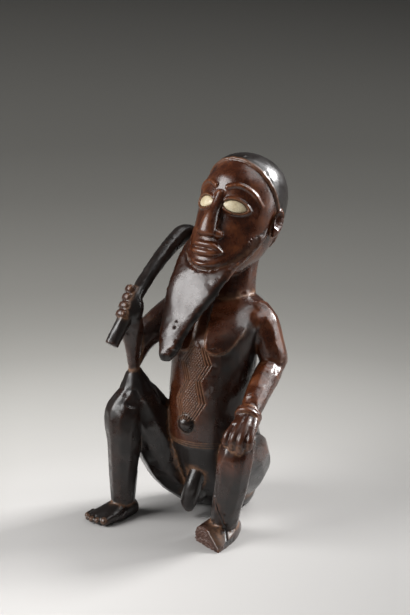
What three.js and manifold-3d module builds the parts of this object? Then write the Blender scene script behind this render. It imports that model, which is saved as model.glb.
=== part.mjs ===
// A seated ancestor figure carved from one block of dark wood, 19 cm tall.
//
// The figure sits flat on the ground with its knees drawn up and its head thrown back. The
// right elbow stands on the right knee and the fist holds a curved fly whisk over the
// shoulder; the left hand hangs over the left knee. A long board of a beard runs from ear to
// ear. Head, limbs, whisk, bracelet and beard are all one piece of wood. Only the two almond
// eyes are separate: cream inlays let into their sockets.
//
// Millimetres, +Z up. The figure faces -Y, and its own left is +X.

import * as THREE from "three";
import { mergeVertices } from "three/addons/utils/BufferGeometryUtils.js";
import Module from "manifold-3d";

const wasm = await Module();
wasm.setup();

// Driving dimensions
const BLOCK_REACH = 400;
const EYE_GAP = 0.3;
const GROOVE = { depth: 0.75, flare: 1.2 };
const HEAD_CENTRE = [0, 27, 161.5];
const HEAD_PITCH = 30;
const HEAD_TURN = 7;
const BLUNT_END = 0.62;

// The middle of the figure's outline on the ground goes to X = Y = 0
const FOOTPRINT_CENTRE = [-3.9, 0.1];

const radians = THREE.MathUtils.degToRad;
const vector = (place) => new THREE.Vector3(...place);

// Closed shapes as solids that can be joined and cut

function solid(geometry) {
  const bare = geometry.clone();
  bare.deleteAttribute("normal");
  bare.deleteAttribute("uv");
  const merged = mergeVertices(bare, 1e-5);
  const vertProperties = new Float32Array(merged.attributes.position.array);
  const triVerts = new Uint32Array(merged.index.array);
  return new wasm.Manifold(new wasm.Mesh({ numProp: 3, vertProperties, triVerts }));
}

function geometryOf(body) {
  const { vertProperties, triVerts } = body.getMesh();
  const geometry = new THREE.BufferGeometry();
  geometry.setAttribute("position", new THREE.BufferAttribute(new Float32Array(vertProperties), 3));
  geometry.setIndex(new THREE.BufferAttribute(new Uint32Array(triVerts), 1));
  geometry.computeVertexNormals();
  return geometry;
}

const union = (bodies) => bodies.reduce((whole, body) => whole.add(body));

// A skin over rings of points, all with the same number of points and turning anticlockwise
// as seen from the last ring, with a fan over each end
function skin(rings) {
  const count = rings[0].length;
  const points = rings.flat();
  const faces = [];
  for (let span = 0; span < rings.length - 1; span++) {
    const here = span * count;
    const next = here + count;
    for (let i = 0; i < count; i++) {
      const j = (i + 1) % count;
      faces.push(here + i, here + j, next + j, here + i, next + j, next + i);
    }
  }
  const top = (rings.length - 1) * count;
  const first = points.push(middle(rings[0])) - 1;
  const last = points.push(middle(rings[rings.length - 1])) - 1;
  for (let i = 0; i < count; i++) {
    const j = (i + 1) % count;
    faces.push(first, j, i, last, top + i, top + j);
  }
  const geometry = new THREE.BufferGeometry().setFromPoints(points);
  geometry.setIndex(faces);
  return geometry;
}

function middle(ring) {
  const sum = ring.reduce((total, point) => total.add(point), new THREE.Vector3());
  return sum.divideScalar(ring.length);
}

// Cosine and sine squared off: power 2 is an ellipse, and more is boxier
function superellipse(angle, power) {
  const bend = 2 / power;
  const c = Math.cos(angle);
  const s = Math.sin(angle);
  return [Math.sign(c) * Math.abs(c) ** bend, Math.sign(s) * Math.abs(s) ** bend];
}

const around = (sides) => Array.from({ length: sides }, (_, i) => (i / sides) * 2 * Math.PI);

const smooth = (rows) => new THREE.CatmullRomCurve3(rows.map(vector), false, "centripetal");

// A limb: sections across a smooth line through its stations. A station is
// [place, half width, half thickness, power], and the thickness lies towards `front`.
// `blunt` rounds the first and last end by that share of the half thickness, down to BLUNT_END
// of the section.
function limb(stations, { sides = 10, steps = 4, front = [0, -1, 0], blunt = [0.3, 0.3] } = {}) {
  const line = smooth(stations.map(([place]) => place));
  const sizes = smooth(stations.map(([, wide, thick, power = 2]) => [wide, thick, power]));
  const rings = [];
  for (let step = 0; step <= steps; step++) {
    const t = step / steps;
    const along = line.getTangent(t);
    const side = vector(front).cross(along).normalize();
    const face = along.clone().cross(side);
    const size = sizes.getPoint(t);
    const ring = (shrink, push) => around(sides).map((angle) => {
      const [c, s] = superellipse(angle, size.z);
      return line.getPoint(t)
        .addScaledVector(side, c * size.x * shrink)
        .addScaledVector(face, s * size.y * shrink)
        .addScaledVector(along, push);
    });
    const half = Math.min(size.x, size.y);
    if (step === 0 && blunt[0] > 0) rings.push(ring(BLUNT_END, -half * blunt[0]));
    rings.push(ring(1, 0));
    if (step === steps && blunt[1] > 0) rings.push(ring(BLUNT_END, half * blunt[1]));
  }
  return skin(rings);
}

// Level sections up a trunk or a head: [height, middle of depth, half width, front depth,
// back depth, power], with the front towards -Y
function levelCurves(levels) {
  return {
    middles: smooth(levels.map(([z, y, wide]) => [wide, y, z])),
    depths: smooth(levels.map(([, , , front, back, power = 2]) => [front, back, power])),
  };
}

function upright(levels, { sides, steps }) {
  const { middles, depths } = levelCurves(levels);
  const rings = [];
  for (let step = 0; step <= steps; step++) {
    const { x: wide, y, z } = middles.getPoint(step / steps);
    const { x: front, y: back, z: power } = depths.getPoint(step / steps);
    rings.push(around(sides).map((angle) => {
      const [c, s] = superellipse(angle, power);
      return new THREE.Vector3(c * wide, y + s * (s < 0 ? front : back), z);
    }));
  }
  return skin(rings);
}

// The front skin of such a form at x and height z
function frontPoint(levels, x, z) {
  const { middles, depths } = levelCurves(levels);
  let low = 0;
  let high = 1;
  for (let halving = 0; halving < 24; halving++) {
    const t = (low + high) / 2;
    if (middles.getPoint(t).z < z) low = t;
    else high = t;
  }
  const { x: wide, y } = middles.getPoint(low);
  return new THREE.Vector3(x, y - depths.getPoint(low).x * Math.sqrt(1 - (x / wide) ** 2), z);
}

// An ellipsoid, turned about X, Y and then Z in degrees, for a soft boss
function boss(place, half, turn = [0, 0, 0], detail = [8, 5]) {
  const geometry = new THREE.SphereGeometry(1, ...detail);
  geometry.scale(...half);
  geometry.rotateX(radians(turn[0]));
  geometry.rotateY(radians(turn[1]));
  geometry.rotateZ(radians(turn[2]));
  geometry.translate(...place);
  return geometry;
}

// Everything on the side of a plane that its normal points to
function halfSpace(place, normal) {
  const block = new THREE.BoxGeometry(BLOCK_REACH, BLOCK_REACH, BLOCK_REACH);
  block.translate(0, 0, BLOCK_REACH / 2);
  const up = new THREE.Vector3(0, 0, 1);
  block.applyQuaternion(new THREE.Quaternion().setFromUnitVectors(up, vector(normal).normalize()));
  block.translate(...place);
  return solid(block);
}

// Trunk, with its pectoral plates and navel

const TRUNK_LEVELS = [
  [-3, 9, 13, 9, 9],
  [0, 8, 16, 12, 12],
  [4, 6, 19, 17, 17],
  [12, 4, 22, 21.5, 21],
  [22, 3, 24, 24.5, 25],
  [34, 1.5, 25, 27, 26],
  [46, -1, 24.6, 27.5, 24.5],
  [58, -2.5, 24, 26, 23.5],
  [70, -3, 23.4, 24, 23.5],
  [82, -2, 23, 23.5, 24],
  [94, 0, 23.5, 24, 25],
  [102, 3, 25, 24.5, 24.5],
  [109, 7, 26, 20.5, 21],
  [114.5, 11, 24, 14.5, 17],
  [118.5, 14, 18, 10, 13],
  [120.5, 16, 10, 6, 8],
];
const PECTORAL = { apart: 10.6, height: 108.5, half: [8.1, 12], growth: 1.06, depth: 30 };
const NAVEL = { height: 56.8, radius: 5, rise: 3.4, depth: 5 };

const TRUNK_MESH = { sides: 22, steps: 13 };

// The middle of the front leans over to the left on its way up
const MIDLINE = { navel: -2.5, lean: 0.105 };
const midline = (height) => MIDLINE.navel + MIDLINE.lean * (height - NAVEL.height);

// Each pectoral plate is the part of a slightly larger trunk inside an upright oval
function pectorals() {
  const { apart, height: level, half, growth, depth } = PECTORAL;
  const grown = TRUNK_LEVELS.map(([height, y, wide, ...depths]) => (
    [height, y, wide * growth, ...depths.map((size) => size * growth)]
  ));
  const ovals = [-1, 1].map((side) => {
    const oval = new THREE.CylinderGeometry(1, 1, depth, 14);
    oval.scale(half[0], 1, half[1]);
    oval.translate(midline(level) + side * apart, -depth / 2, level);
    return solid(oval);
  });
  return solid(upright(grown, TRUNK_MESH)).intersect(union(ovals));
}

function trunk() {
  const { height, radius, rise, depth } = NAVEL;
  const skinPoint = frontPoint(TRUNK_LEVELS, midline(height), height);
  const place = [skinPoint.x, skinPoint.y - rise + depth, height];
  const navel = solid(boss(place, [radius, depth, radius], [0, 0, 0], [12, 8]));
  return union([solid(upright(TRUNK_LEVELS, TRUNK_MESH)), pectorals(), navel]);
}

// Scars and belt: three-cornered grooves that follow the skin of the belly

// Corners of the outer and the inner zigzag line: [outer x, inner x, height]
const SCAR_CORNERS = [
  [4, 1.4, 99.5],
  [8.8, 5.4, 90.5],
  [4.5, 1.7, 81],
  [9, 5.6, 69.4],
  [4.8, 1.8, 60],
];
const SCAR_LINES = 3;
const BELT = {
  heights: [46.9, 45.5, 44.1],
  drop: 2,
  wide: 24.6,
  turns: [-55, -49, -33, -16.4, 0, 16.4, 33, 49, 55],
};

function groove(points) {
  const last = points.length - 1;
  const rings = points.map((point, i) => {
    const along = points[Math.min(i + 1, last)].clone().sub(points[Math.max(i - 1, 0)]).normalize();
    const out = new THREE.Vector3(point.x, point.y, 0).normalize();
    const side = out.clone().cross(along).normalize();
    const corner = (across, rise) => point.clone()
      .addScaledVector(side, across * GROOVE.flare)
      .addScaledVector(out, rise * GROOVE.depth);
    return [corner(0, -1), corner(1, 1), corner(-1, 1)];
  });
  return solid(skin(rings));
}

// Nested zigzag lines down each side of the two scarred lozenges, and the lines of the belt
function carvedLines() {
  const lines = [];
  for (const side of [-1, 1]) {
    for (let line = 0; line < SCAR_LINES; line++) {
      const share = line / (SCAR_LINES - 1);
      lines.push(SCAR_CORNERS.map(([outer, inner, z]) => (
        [midline(z) + side * (outer + (inner - outer) * share), z]
      )));
    }
  }
  for (const height of BELT.heights) {
    lines.push(BELT.turns.map((turn) => {
      const x = Math.sin(radians(turn));
      return [x * BELT.wide, height - (x < 0 ? BELT.drop * x * x : 0)];
    }));
  }
  return union(lines.map((line) => (
    groove(line.map(([x, z]) => frontPoint(TRUNK_LEVELS, x, z)))
  )));
}

// Head: its own frame has the face towards -Y and the crown towards +Z

const HEAD_LEVELS = [
  [-38.5, -12, 5, 5, 4],
  [-36.5, -11, 10, 10, 9],
  [-32, -8, 14, 13.5, 14],
  [-26, -5, 17, 17, 17],
  [-20, -2.4, 19.4, 19.3, 20],
  [-12, -0.6, 21, 20.8, 22.5],
  [-3, -0.5, 22, 22, 25.5],
  [6, -0.5, 22.2, 23, 26],
  [13.5, -0.5, 21.4, 22.8, 25.5],
  [20, 0, 19.3, 20.5, 23],
  [26, 0.5, 15.3, 16.3, 18.5],
  [30, 1, 9.5, 10.5, 11.5],
  [31.8, 1.5, 3.5, 4, 4.5],
];
const HEAD_MESH = { sides: 18, steps: 11 };
const CAP_GROWTH = 1.05;
const HAIRLINE = { place: [0, -17.3, 25], normal: [0, 22, 21] };
const NAPE = { place: [0, 0, -17], normal: [0, -0.25, 1] };
const EYE = { x: 9.8, z: -1, yaw: 26, long: 7, tall: 3.4, front: 0.2, back: 2.1, bulge: 0.7 };
const EYELID = { long: 8.6, tall: 4.9, front: -0.4, back: 3, bulge: 0.5 };
const SOCKET_REACH = 4;
const FACE_RADIUS = 22;

// [height, sideways drift, middle of depth, half width, thickness, sweep of the edges]
const BEARD_LEVELS = [
  [-89.6, -4.8, -19.5, 2.6, 2.4, 0.2],
  [-87.5, -4.9, -19.4, 4.2, 3.2, 0.3],
  [-83, -5.2, -19.2, 6.2, 3.8, 0.4],
  [-76, -5.4, -19, 8.1, 4.2, 0.6],
  [-67, -5, -18.8, 10.5, 4.2, 0.8],
  [-57, -4, -18.5, 13.6, 4.2, 1],
  [-49, -3, -18.2, 15.9, 4.2, 1.2],
  [-40, -2, -17.6, 17.6, 4.4, 2],
  [-31, -1.6, -15.5, 18.8, 5, 3.5],
  [-22, -0.8, -13, 20.6, 6, 5.5],
  [-13, 0, -9.5, 22.2, 6, 6],
  [-7, 0, -4.5, 21.8, 4, 3],
];
const BEARD_MESH = { sides: 14, steps: 11 };
const BEARD_POWER = 3;

function headPlace() {
  const turn = new THREE.Euler(radians(-HEAD_PITCH), 0, radians(-HEAD_TURN), "ZYX");
  return new THREE.Matrix4().compose(
    vector(HEAD_CENTRE), new THREE.Quaternion().setFromEuler(turn), new THREE.Vector3(1, 1, 1));
}

const onHead = (geometry) => solid(geometry.applyMatrix4(headPlace()));

// An almond seen from the front, bent with the face, from its back to its bulging front
const ALMOND = { sides: 12, pinch: 0.35, crown: 0.6 };

function almond({ long, tall, front, back, bulge }) {
  const outline = (shrink, y) => around(ALMOND.sides).map((angle) => {
    const x = Math.cos(angle) * long * shrink;
    const z = Math.sin(angle) * Math.abs(Math.sin(angle)) ** ALMOND.pinch * tall * shrink;
    return new THREE.Vector3(x, y + x * x / (2 * FACE_RADIUS), z);
  });
  return skin([outline(1, back), outline(1, front), outline(ALMOND.crown, front - bulge)]);
}

// An eye's own frame sits on the face and looks outward from it
function onEye(geometry, side) {
  const place = frontPoint(HEAD_LEVELS, side * EYE.x, EYE.z);
  geometry.rotateZ(side * radians(EYE.yaw));
  geometry.translate(...place);
  return onHead(geometry);
}

function eyeInlay(side) {
  const { long, tall, front, back, bulge } = EYE;
  return onEye(almond({
    long: long - EYE_GAP, tall: tall - EYE_GAP, front, back: back - EYE_GAP, bulge,
  }), side);
}

const eyeSocket = (side) => onEye(almond({ ...EYE, front: -SOCKET_REACH, bulge: 0 }), side);

const eyelids = (side) => onEye(almond(EYELID), side);

// Features of the face: [x, z, rise of their middle over the skin, half height, half thickness]
const NOSE = [
  [0, 5, -1, 2.6, 2.4],
  [0, -3, 0.2, 3.2, 3.4],
  [0, -12, 3, 4.6, 4.4],
  [0, -18.6, 3.2, 5.4, 3.6],
];
const NOSE_WING = { x: 5.4, z: -17.8, rise: 0.6, half: [3, 3.4, 2.6], turn: 20 };
const BROW = [
  [3, 7.8, 0.1, 1.2, 1.5],
  [9.6, 10.4, 0, 1.4, 1.6],
  [16.2, 8.4, -0.1, 1.4, 1.5],
  [20.2, 3.2, -0.2, 1, 1],
];
const UPPER_LIP = [
  [9.8, -26.6, -0.6, 0.9, 1.6],
  [5, -24.8, 0.6, 1.9, 2.2],
  [0, -24.8, 0.8, 1.8, 2.2],
];
const LOWER_LIP = [
  [9.4, -27.2, -0.6, 0.9, 1.4],
  [4.8, -28.7, 0.6, 1.8, 2],
  [0, -29, 0.8, 1.9, 2],
];

const acrossFace = (rows) => [
  ...rows, ...rows.slice(0, -1).reverse().map(([x, ...rest]) => [-x, ...rest]),
];

function feature(rows, side, mesh) {
  return onHead(limb(rows.map(([x, z, rise, ...size]) => {
    const place = frontPoint(HEAD_LEVELS, side * x, z);
    return [place.addScaledVector(new THREE.Vector3(place.x, place.y, 0).normalize(), rise), ...size];
  }), mesh));
}

function face() {
  const bodies = [
    feature(NOSE, 1, { sides: 8, steps: 3, blunt: [0.3, 0.5] }),
    feature(acrossFace(UPPER_LIP), 1, { sides: 6, steps: 4 }),
    feature(acrossFace(LOWER_LIP), 1, { sides: 6, steps: 4 }),
  ];
  for (const side of [-1, 1]) {
    const { x, z, rise, half, turn } = NOSE_WING;
    const wing = frontPoint(HEAD_LEVELS, side * x, z);
    bodies.push(onHead(boss([wing.x, wing.y - rise, z], half, [0, 0, side * turn])));
    bodies.push(feature(BROW, side, { sides: 6, steps: 4 }));
    bodies.push(eyelids(side));
  }
  return union(bodies);
}

const EAR = {
  shell: [22.6, 4.6, -1],
  half: [3, 5.2, 8],
  bowl: [25, 1.6, 0.4],
  hollow: [2.2, 3.4, 5.4],
  turn: 38,
};

function ear(side) {
  const part = ([x, y, z], half, detail) => (
    onHead(boss([side * x, y, z], half, [0, 0, side * EAR.turn], detail))
  );
  return part(EAR.shell, EAR.half, [9, 6]).subtract(part(EAR.bowl, EAR.hollow, [7, 4]));
}

function hairCap() {
  const grown = HEAD_LEVELS.map(([z, y, wide, ...depths]) => (
    [z * CAP_GROWTH, y, wide * CAP_GROWTH, ...depths.map((depth) => depth * CAP_GROWTH)]
  ));
  const turned = (cut) => halfSpace(cut.place, cut.normal).transform(headPlace().elements);
  return onHead(upright(grown, { sides: HEAD_MESH.sides, steps: 8 }))
    .intersect(turned(HAIRLINE))
    .intersect(turned(NAPE));
}

function beard() {
  const { sides, steps } = BEARD_MESH;
  const middles = smooth(BEARD_LEVELS.map(([z, x, y]) => [x, y, z]));
  const sizes = smooth(BEARD_LEVELS.map(([, , , ...size]) => size));
  const rings = [];
  for (let step = 0; step <= steps; step++) {
    const { x, y, z } = middles.getPoint(step / steps);
    const { x: wide, y: thick, z: sweep } = sizes.getPoint(step / steps);
    rings.push(around(sides).map((angle) => {
      const [c, s] = superellipse(angle, BEARD_POWER);
      return new THREE.Vector3(x + c * wide, y + s * thick / 2 + sweep * c * c, z);
    }));
  }
  return onHead(skin(rings));
}

function head() {
  const bodies = [
    onHead(upright(HEAD_LEVELS, HEAD_MESH)),
    face(), hairCap(), ear(-1), ear(1), beard(),
  ];
  return union(bodies).subtract(eyeSocket(-1)).subtract(eyeSocket(1));
}

const NECK = [
  [[0, 15, 106], 14.5, 14.5],
  [[0, 18.5, 118], 13.2, 13.2],
  [[0, 22, 132], 12.3, 12.5],
  [[0, 27, 146], 13, 14],
  [[0, 30, 155], 12, 14],
];

// Limbs: [place, half width, half thickness]

const RIGHT_UPPER_ARM = [
  [[-19, 14, 112], 8.5, 8.5],
  [[-24, 6, 110.5], 9, 9],
  [[-29.2, -9, 104.7], 8.8, 9],
  [[-33.7, -20, 97.5], 7, 7.2],
  [[-35.3, -26.8, 84.5], 2.9, 2.9],
];
const RIGHT_FOREARM = [
  [[-35.5, -27, 81.5], 2.8, 2.8],
  [[-34.9, -28.4, 89], 3.6, 3.8],
  [[-33.8, -30.5, 100], 5.2, 5.4],
  [[-33.3, -32, 110], 6.2, 6],
  [[-33, -32.8, 117], 5.6, 5.2],
];
const LEFT_UPPER_ARM = [
  [[17, 14, 111.5], 8.5, 8.5],
  [[24.2, 10.2, 106.5], 8.6, 8.8],
  [[28, 8.8, 98], 8.2, 8.6],
  [[31.4, 8.6, 87.5], 7.4, 8],
  [[31.2, 7.4, 82.5], 6, 6.4],
];

// The chest runs on into the front of the left shoulder
const LEFT_ARMPIT = { place: [21.5, 8, 109], half: [7.5, 9, 6.5] };

const LEFT_FOREARM = [
  [[30.6, 11, 86.5], 6, 6],
  [[31.8, 1, 82.5], 7, 7.6],
  [[33.4, -14, 75.5], 6.4, 6.8],
  [[35.2, -27, 68.8], 5.2, 5.4],
];
const RIGHT_THIGH = [
  [[-12, 1, 11.5], 14, 15],
  [[-21.5, -8.5, 26], 15, 17.5],
  [[-30, -18.6, 51], 13.5, 16],
  [[-35, -25, 69], 10.3, 10.5],
  [[-35.3, -26, 76], 7, 7.2],
  [[-35.5, -27, 83.5], 2.9, 2.9],
];
const RIGHT_SHIN = [
  [[-35.6, -27, 68], 8.6, 8.6],
  [[-38.2, -32, 57], 11.6, 11],
  [[-37, -35.5, 42], 9.4, 9.4],
  [[-36.8, -37.5, 24], 7.8, 7.8],
  [[-36.6, -38.5, 9], 6.6, 6.6],
];
const LEFT_THIGH = [
  [[9, 3, 15], 13, 14],
  [[21, -7, 31], 14.5, 15],
  [[29.4, -21, 45], 12.8, 13.4],
  [[33.6, -33, 53], 9.4, 9],
];
const LEFT_SHIN = [
  [[34, -34.5, 57], 8.8, 8.8],
  [[33, -37.7, 47], 9.6, 9.6],
  [[31.2, -38.3, 34], 9, 9],
  [[28.4, -39, 19], 8.2, 8.2],
  [[26.6, -38, 9], 7.6, 7.6],
];
const RIGHT_FOOT = [
  [[-35, -32, 3.6], 5.4, 5],
  [[-36.8, -38, 4.4], 6.6, 6],
  [[-39.6, -46, 3.6], 8, 5],
  [[-43, -52.5, 2.4], 8.6, 3.4],
  [[-43.8, -54.4, 2.2], 8.2, 2.8],
];
const LEFT_FOOT = [
  [[25.4, -29.5, 4], 6.8, 5.4, 2.6],
  [[25.6, -37, 5], 8.8, 6.6, 3],
  [[24.4, -46, 4], 10.2, 5.6, 3.4],
  [[22.6, -58, 3], 10.8, 5, 3.4],
];

// The left foot has lost its front, and beside the break its stump is cut to two flat facets
const FOOT_CUTS = [
  { place: [22, -51.6, 0], normal: [-0.4, -0.91, 0.1] },
  { place: [29.7, -54.8, 4], normal: [0.427, -0.418, 0.802] },
  { place: [33.5, -46.7, 6.2], normal: [0.648, -0.156, 0.746] },
];
const TOE_ROOT = [1.6, 5, 0.9];
const TOES = [
  [[-37.6, -56.2, 2.8], 2.7],
  [[-41.8, -56.8, 2.5], 2.1],
  [[-45.6, -56.4, 2.4], 2],
  [[-48.8, -55, 2.3], 1.9],
  [[-51.2, -52.4, 2.2], 1.7],
];

function foot(stations, cuts = []) {
  const shape = solid(limb(stations, { sides: 12, front: [0, 0, 1] }));
  return cuts.reduce((rest, cut) => rest.subtract(halfSpace(cut.place, cut.normal)), shape);
}

function toe([place, radius]) {
  const root = place.map((value, axis) => value + TOE_ROOT[axis]);
  return solid(limb([[root, radius, radius], [place, radius, radius * 0.9]],
    { sides: 6, steps: 1, front: [0, 0, 1], blunt: [0, 0.5] }));
}

// Left hand: it lies over the knee and its fingers hang down the front of it

const LEFT_PALM = [
  [[35.2, -25, 69.4], 5.2, 4.6],
  [[36.2, -31, 66.8], 6.6, 3.6],
  [[37.2, -37, 65], 7.4, 3.2],
];
const LEFT_FINGERS = [
  [[33, -30.5, 68.2], [32, -37.6, 65.4], [30.6, -42.8, 61.5], [30.2, -43.8, 58]],
  [[35.2, -31.2, 69.2], [35.4, -38.4, 66], [35, -43.8, 61.5], [34.4, -44.6, 56.6]],
  [[37.6, -31, 69.2], [38.8, -37.8, 65.8], [39, -43.4, 60.8], [38.6, -44, 55.2]],
  [[40, -30, 68.2], [42, -35.8, 64.8], [43, -40.8, 60.8], [42.6, -41.4, 56.8]],
];
const FINGER_RADIUS = 2.1;

function leftHand() {
  const fingers = LEFT_FINGERS.map((places) => solid(limb(
    places.map((place) => [place, FINGER_RADIUS, FINGER_RADIUS]),
    { sides: 6, steps: 3, front: [0.5, -0.6, 0.6], blunt: [0, 0.6] })));
  const palm = solid(limb(LEFT_PALM, { sides: 9, steps: 2, front: [0.2, -0.3, 0.9] }));
  return union([palm, ...fingers]);
}

// Two rings side by side round the wrist: [offset along the forearm, radius]
const BRACELET = {
  place: [34.9, -27.4, 68.2],
  profile: [[-2.4, 4.4], [-1.15, 7.4], [0, 6.6], [1.15, 7.4], [2.4, 4.4]],
};

function bracelet() {
  const along = vector(LEFT_FOREARM[3][0]).sub(vector(LEFT_FOREARM[1][0])).normalize();
  const stations = BRACELET.profile.map(([offset, radius]) => [
    vector(BRACELET.place).addScaledVector(along, offset).toArray(), radius, radius,
  ]);
  const steps = stations.length - 1;
  return solid(limb(stations, { sides: 14, steps, blunt: [0, 0] }));
}

// Fly whisk, and the fist that holds it

const WHISK = [
  [[-37.7, -46, 101.7], 3.9, 3.9],
  [[-32.6, -33, 121.4], 4, 4],
  [[-32.7, -24, 127.7], 4, 4],
  [[-31.5, -8, 138], 4.3, 4.3],
  [[-30.6, 8, 145], 4.9, 4.9],
  [[-29.4, 19.5, 147.5], 5.3, 5.3],
  [[-26, 28.5, 141], 5.2, 5.2],
  [[-22, 29, 128], 4.8, 4.8],
  [[-19, 24, 116], 4, 4],
];
const GRIP = {
  line: [[-34.2, -36.8, 115.2], [-33, -27.4, 126.2]],
  toward: [-0.85, -0.5, 0.1],
  reach: [3.6, 4.4],
  section: [2.3, 2.15, 3],
  fingers: 4,
  tips: [-80, -55],
  roots: 75,
};
const RIGHT_PALM = { place: [-31.8, -32.4, 118.4], half: [5.2, 5.2, 8], turn: [-26, 0, 0] };

// Each finger is an arc around the whisk, from the lowest finger up
function rightHand() {
  const low = vector(GRIP.line[0]);
  const high = vector(GRIP.line[1]);
  const along = high.clone().sub(low).normalize();
  const side = vector(GRIP.toward).cross(along).normalize();
  const outward = along.clone().cross(side);
  const bodies = [solid(boss(RIGHT_PALM.place, RIGHT_PALM.half, RIGHT_PALM.turn))];
  for (let finger = 0; finger < GRIP.fingers; finger++) {
    const share = finger / (GRIP.fingers - 1);
    const reach = THREE.MathUtils.lerp(GRIP.reach[0], GRIP.reach[1], share);
    const tip = THREE.MathUtils.lerp(GRIP.tips[0], GRIP.tips[1], share);
    const arc = [0, 1 / 3, 2 / 3, 1].map((part) => {
      const angle = THREE.MathUtils.lerp(tip, GRIP.roots, part);
      const place = low.clone().lerp(high, share)
        .addScaledVector(outward, Math.cos(radians(angle)) * reach)
        .addScaledVector(side, Math.sin(radians(angle)) * reach);
      return [place.toArray(), ...GRIP.section];
    });
    bodies.push(solid(limb(arc, { sides: 6, steps: 3, front: along.toArray(), blunt: [0.5, 0.5] })));
  }
  return union(bodies);
}

// Genitals, in simple carved form

const PENIS = [
  [[0.8, -21, 27], 4.6, 4.4],
  [[-0.8, -25, 17], 5, 4.6],
  [[-2.6, -24.8, 10.5], 4.8, 4.6],
  [[-3.4, -23.8, 5.2], 2.6, 2.6],
];
const SCROTUM = { place: [-2.5, -17.5, 13.5], half: [6.4, 6, 7] };

function figure() {
  const bodies = [
    trunk(), head(), leftHand(), rightHand(), bracelet(),
    solid(limb(NECK, { sides: 12, steps: 3 })),
    solid(limb(RIGHT_UPPER_ARM)), solid(limb(RIGHT_FOREARM)),
    solid(limb(LEFT_UPPER_ARM)), solid(limb(LEFT_FOREARM)),
    solid(boss(LEFT_ARMPIT.place, LEFT_ARMPIT.half)),
    solid(limb(RIGHT_THIGH, { sides: 13 })), solid(limb(RIGHT_SHIN, { sides: 11 })),
    solid(limb(LEFT_THIGH, { sides: 13 })), solid(limb(LEFT_SHIN, { sides: 11 })),
    foot(RIGHT_FOOT), foot(LEFT_FOOT, FOOT_CUTS), ...TOES.map(toe),
    solid(limb(WHISK, { sides: 9, steps: 12, front: [1, 0, 0], blunt: [0.1, 0.4] })),
    solid(limb(PENIS, { sides: 8 })),
    solid(boss(SCROTUM.place, SCROTUM.half)),
  ];
  return union(bodies).subtract(carvedLines()).intersect(halfSpace([0, 0, 0], [0, 0, 1]));
}

const wood = new THREE.MeshStandardMaterial({ color: 0x3a2018, roughness: 0.3, metalness: 0 });
const inlay = new THREE.MeshStandardMaterial({ color: 0xd9ceac, roughness: 0.45, metalness: 0 });

const carving = new THREE.Group();
carving.position.set(-FOOTPRINT_CENTRE[0], -FOOTPRINT_CENTRE[1], 0);

function addPiece(name, body, material) {
  const piece = new THREE.Mesh(geometryOf(body), material);
  piece.name = name;
  carving.add(piece);
}

addPiece("figure", figure(), wood);
addPiece("left_eye", eyeInlay(1), inlay);
addPiece("right_eye", eyeInlay(-1), inlay);

const root = new THREE.Group();
root.add(carving);

export default root;
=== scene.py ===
# %% [markdown]
# # A seated ancestor figure, carved from one block of wood
#
# The real figure is 19 cm of dense dark wood. A carver took it out of one block with an adze
# and a knife, rubbed it with oil and soot, and let two cream almonds into the eye sockets.
# Here we carve it again: rough forms first, then one skin over all of them, then the knife
# work, and last the patina.

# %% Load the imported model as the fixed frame
import math

import bmesh
import bpy
import numpy as np
from mathutils import Euler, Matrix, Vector
from mathutils.kdtree import KDTree


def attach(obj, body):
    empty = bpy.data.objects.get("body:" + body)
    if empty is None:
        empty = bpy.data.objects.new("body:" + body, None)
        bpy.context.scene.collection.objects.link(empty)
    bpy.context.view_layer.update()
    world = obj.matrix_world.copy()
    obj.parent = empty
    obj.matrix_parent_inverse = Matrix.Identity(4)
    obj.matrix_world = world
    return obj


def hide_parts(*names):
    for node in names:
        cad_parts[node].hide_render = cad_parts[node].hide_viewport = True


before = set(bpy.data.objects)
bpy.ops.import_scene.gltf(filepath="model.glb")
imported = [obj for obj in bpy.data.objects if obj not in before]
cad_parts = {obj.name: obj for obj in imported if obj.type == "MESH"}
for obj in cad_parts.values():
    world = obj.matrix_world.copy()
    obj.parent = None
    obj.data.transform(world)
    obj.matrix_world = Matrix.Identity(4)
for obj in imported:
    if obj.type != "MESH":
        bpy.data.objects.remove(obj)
bpy.context.view_layer.update()

# %% [markdown]
# ## Measures
#
# The stations below are the carver's own measures in millimetres, on a centre line that runs
# through the trunk. The middle of the figure's outline on the ground is the origin of the
# shared frame, so one shift and one scale take every point there.

# %% From carving millimetres to the shared frame
MM = 0.001
GROUND_CENTRE = np.array([-3.9, 0.1, 0.0])


def to_frame(points):
    return (np.asarray(points, float) - GROUND_CENTRE) * MM


def to_carving(points):
    return np.asarray(points, float) / MM + GROUND_CENTRE


def unit(vector):
    return np.array(vector) / np.linalg.norm(vector)


print("ground centre", GROUND_CENTRE)

# %% [markdown]
# ## Camera
#
# The photograph looks down a little on the figure's left front from about a metre, with a
# long lens. The camera stands there and aims at the chest.

# %% Camera at the photograph's viewing angle
AIM = (-4.9, -2.7, 115.1)
AZIMUTH, ELEVATION, DISTANCE = 29.0, 18.5, 1.1
FOCAL_PIXELS, LONG_SIDE, SENSOR = 2035, 615, 36
FAR_PLANE = 50

turn, rise = math.radians(AZIMUTH), math.radians(ELEVATION)
toward = Vector((
    math.sin(turn) * math.cos(rise), -math.cos(turn) * math.cos(rise), math.sin(rise),
))
place = Vector(to_frame(AIM)) + toward * DISTANCE
bpy.ops.object.camera_add(location=place, rotation=(-toward).to_track_quat("-Z", "Y").to_euler())
camera = bpy.context.active_object
camera.data.sensor_width = SENSOR
camera.data.lens = SENSOR * FOCAL_PIXELS / LONG_SIDE
camera.data.clip_end = FAR_PLANE
bpy.context.scene.camera = camera
print("camera", [round(v, 3) for v in place], "lens", round(camera.data.lens, 1))

# %% [markdown]
# ## Rough forms
#
# A carver thinks of a limb as sections along a line. We draw each form out of one flat ring:
# extrude it, set the new ring to the next section, and go on. That gives clean closed forms
# which taper and bend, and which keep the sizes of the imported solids.

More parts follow.
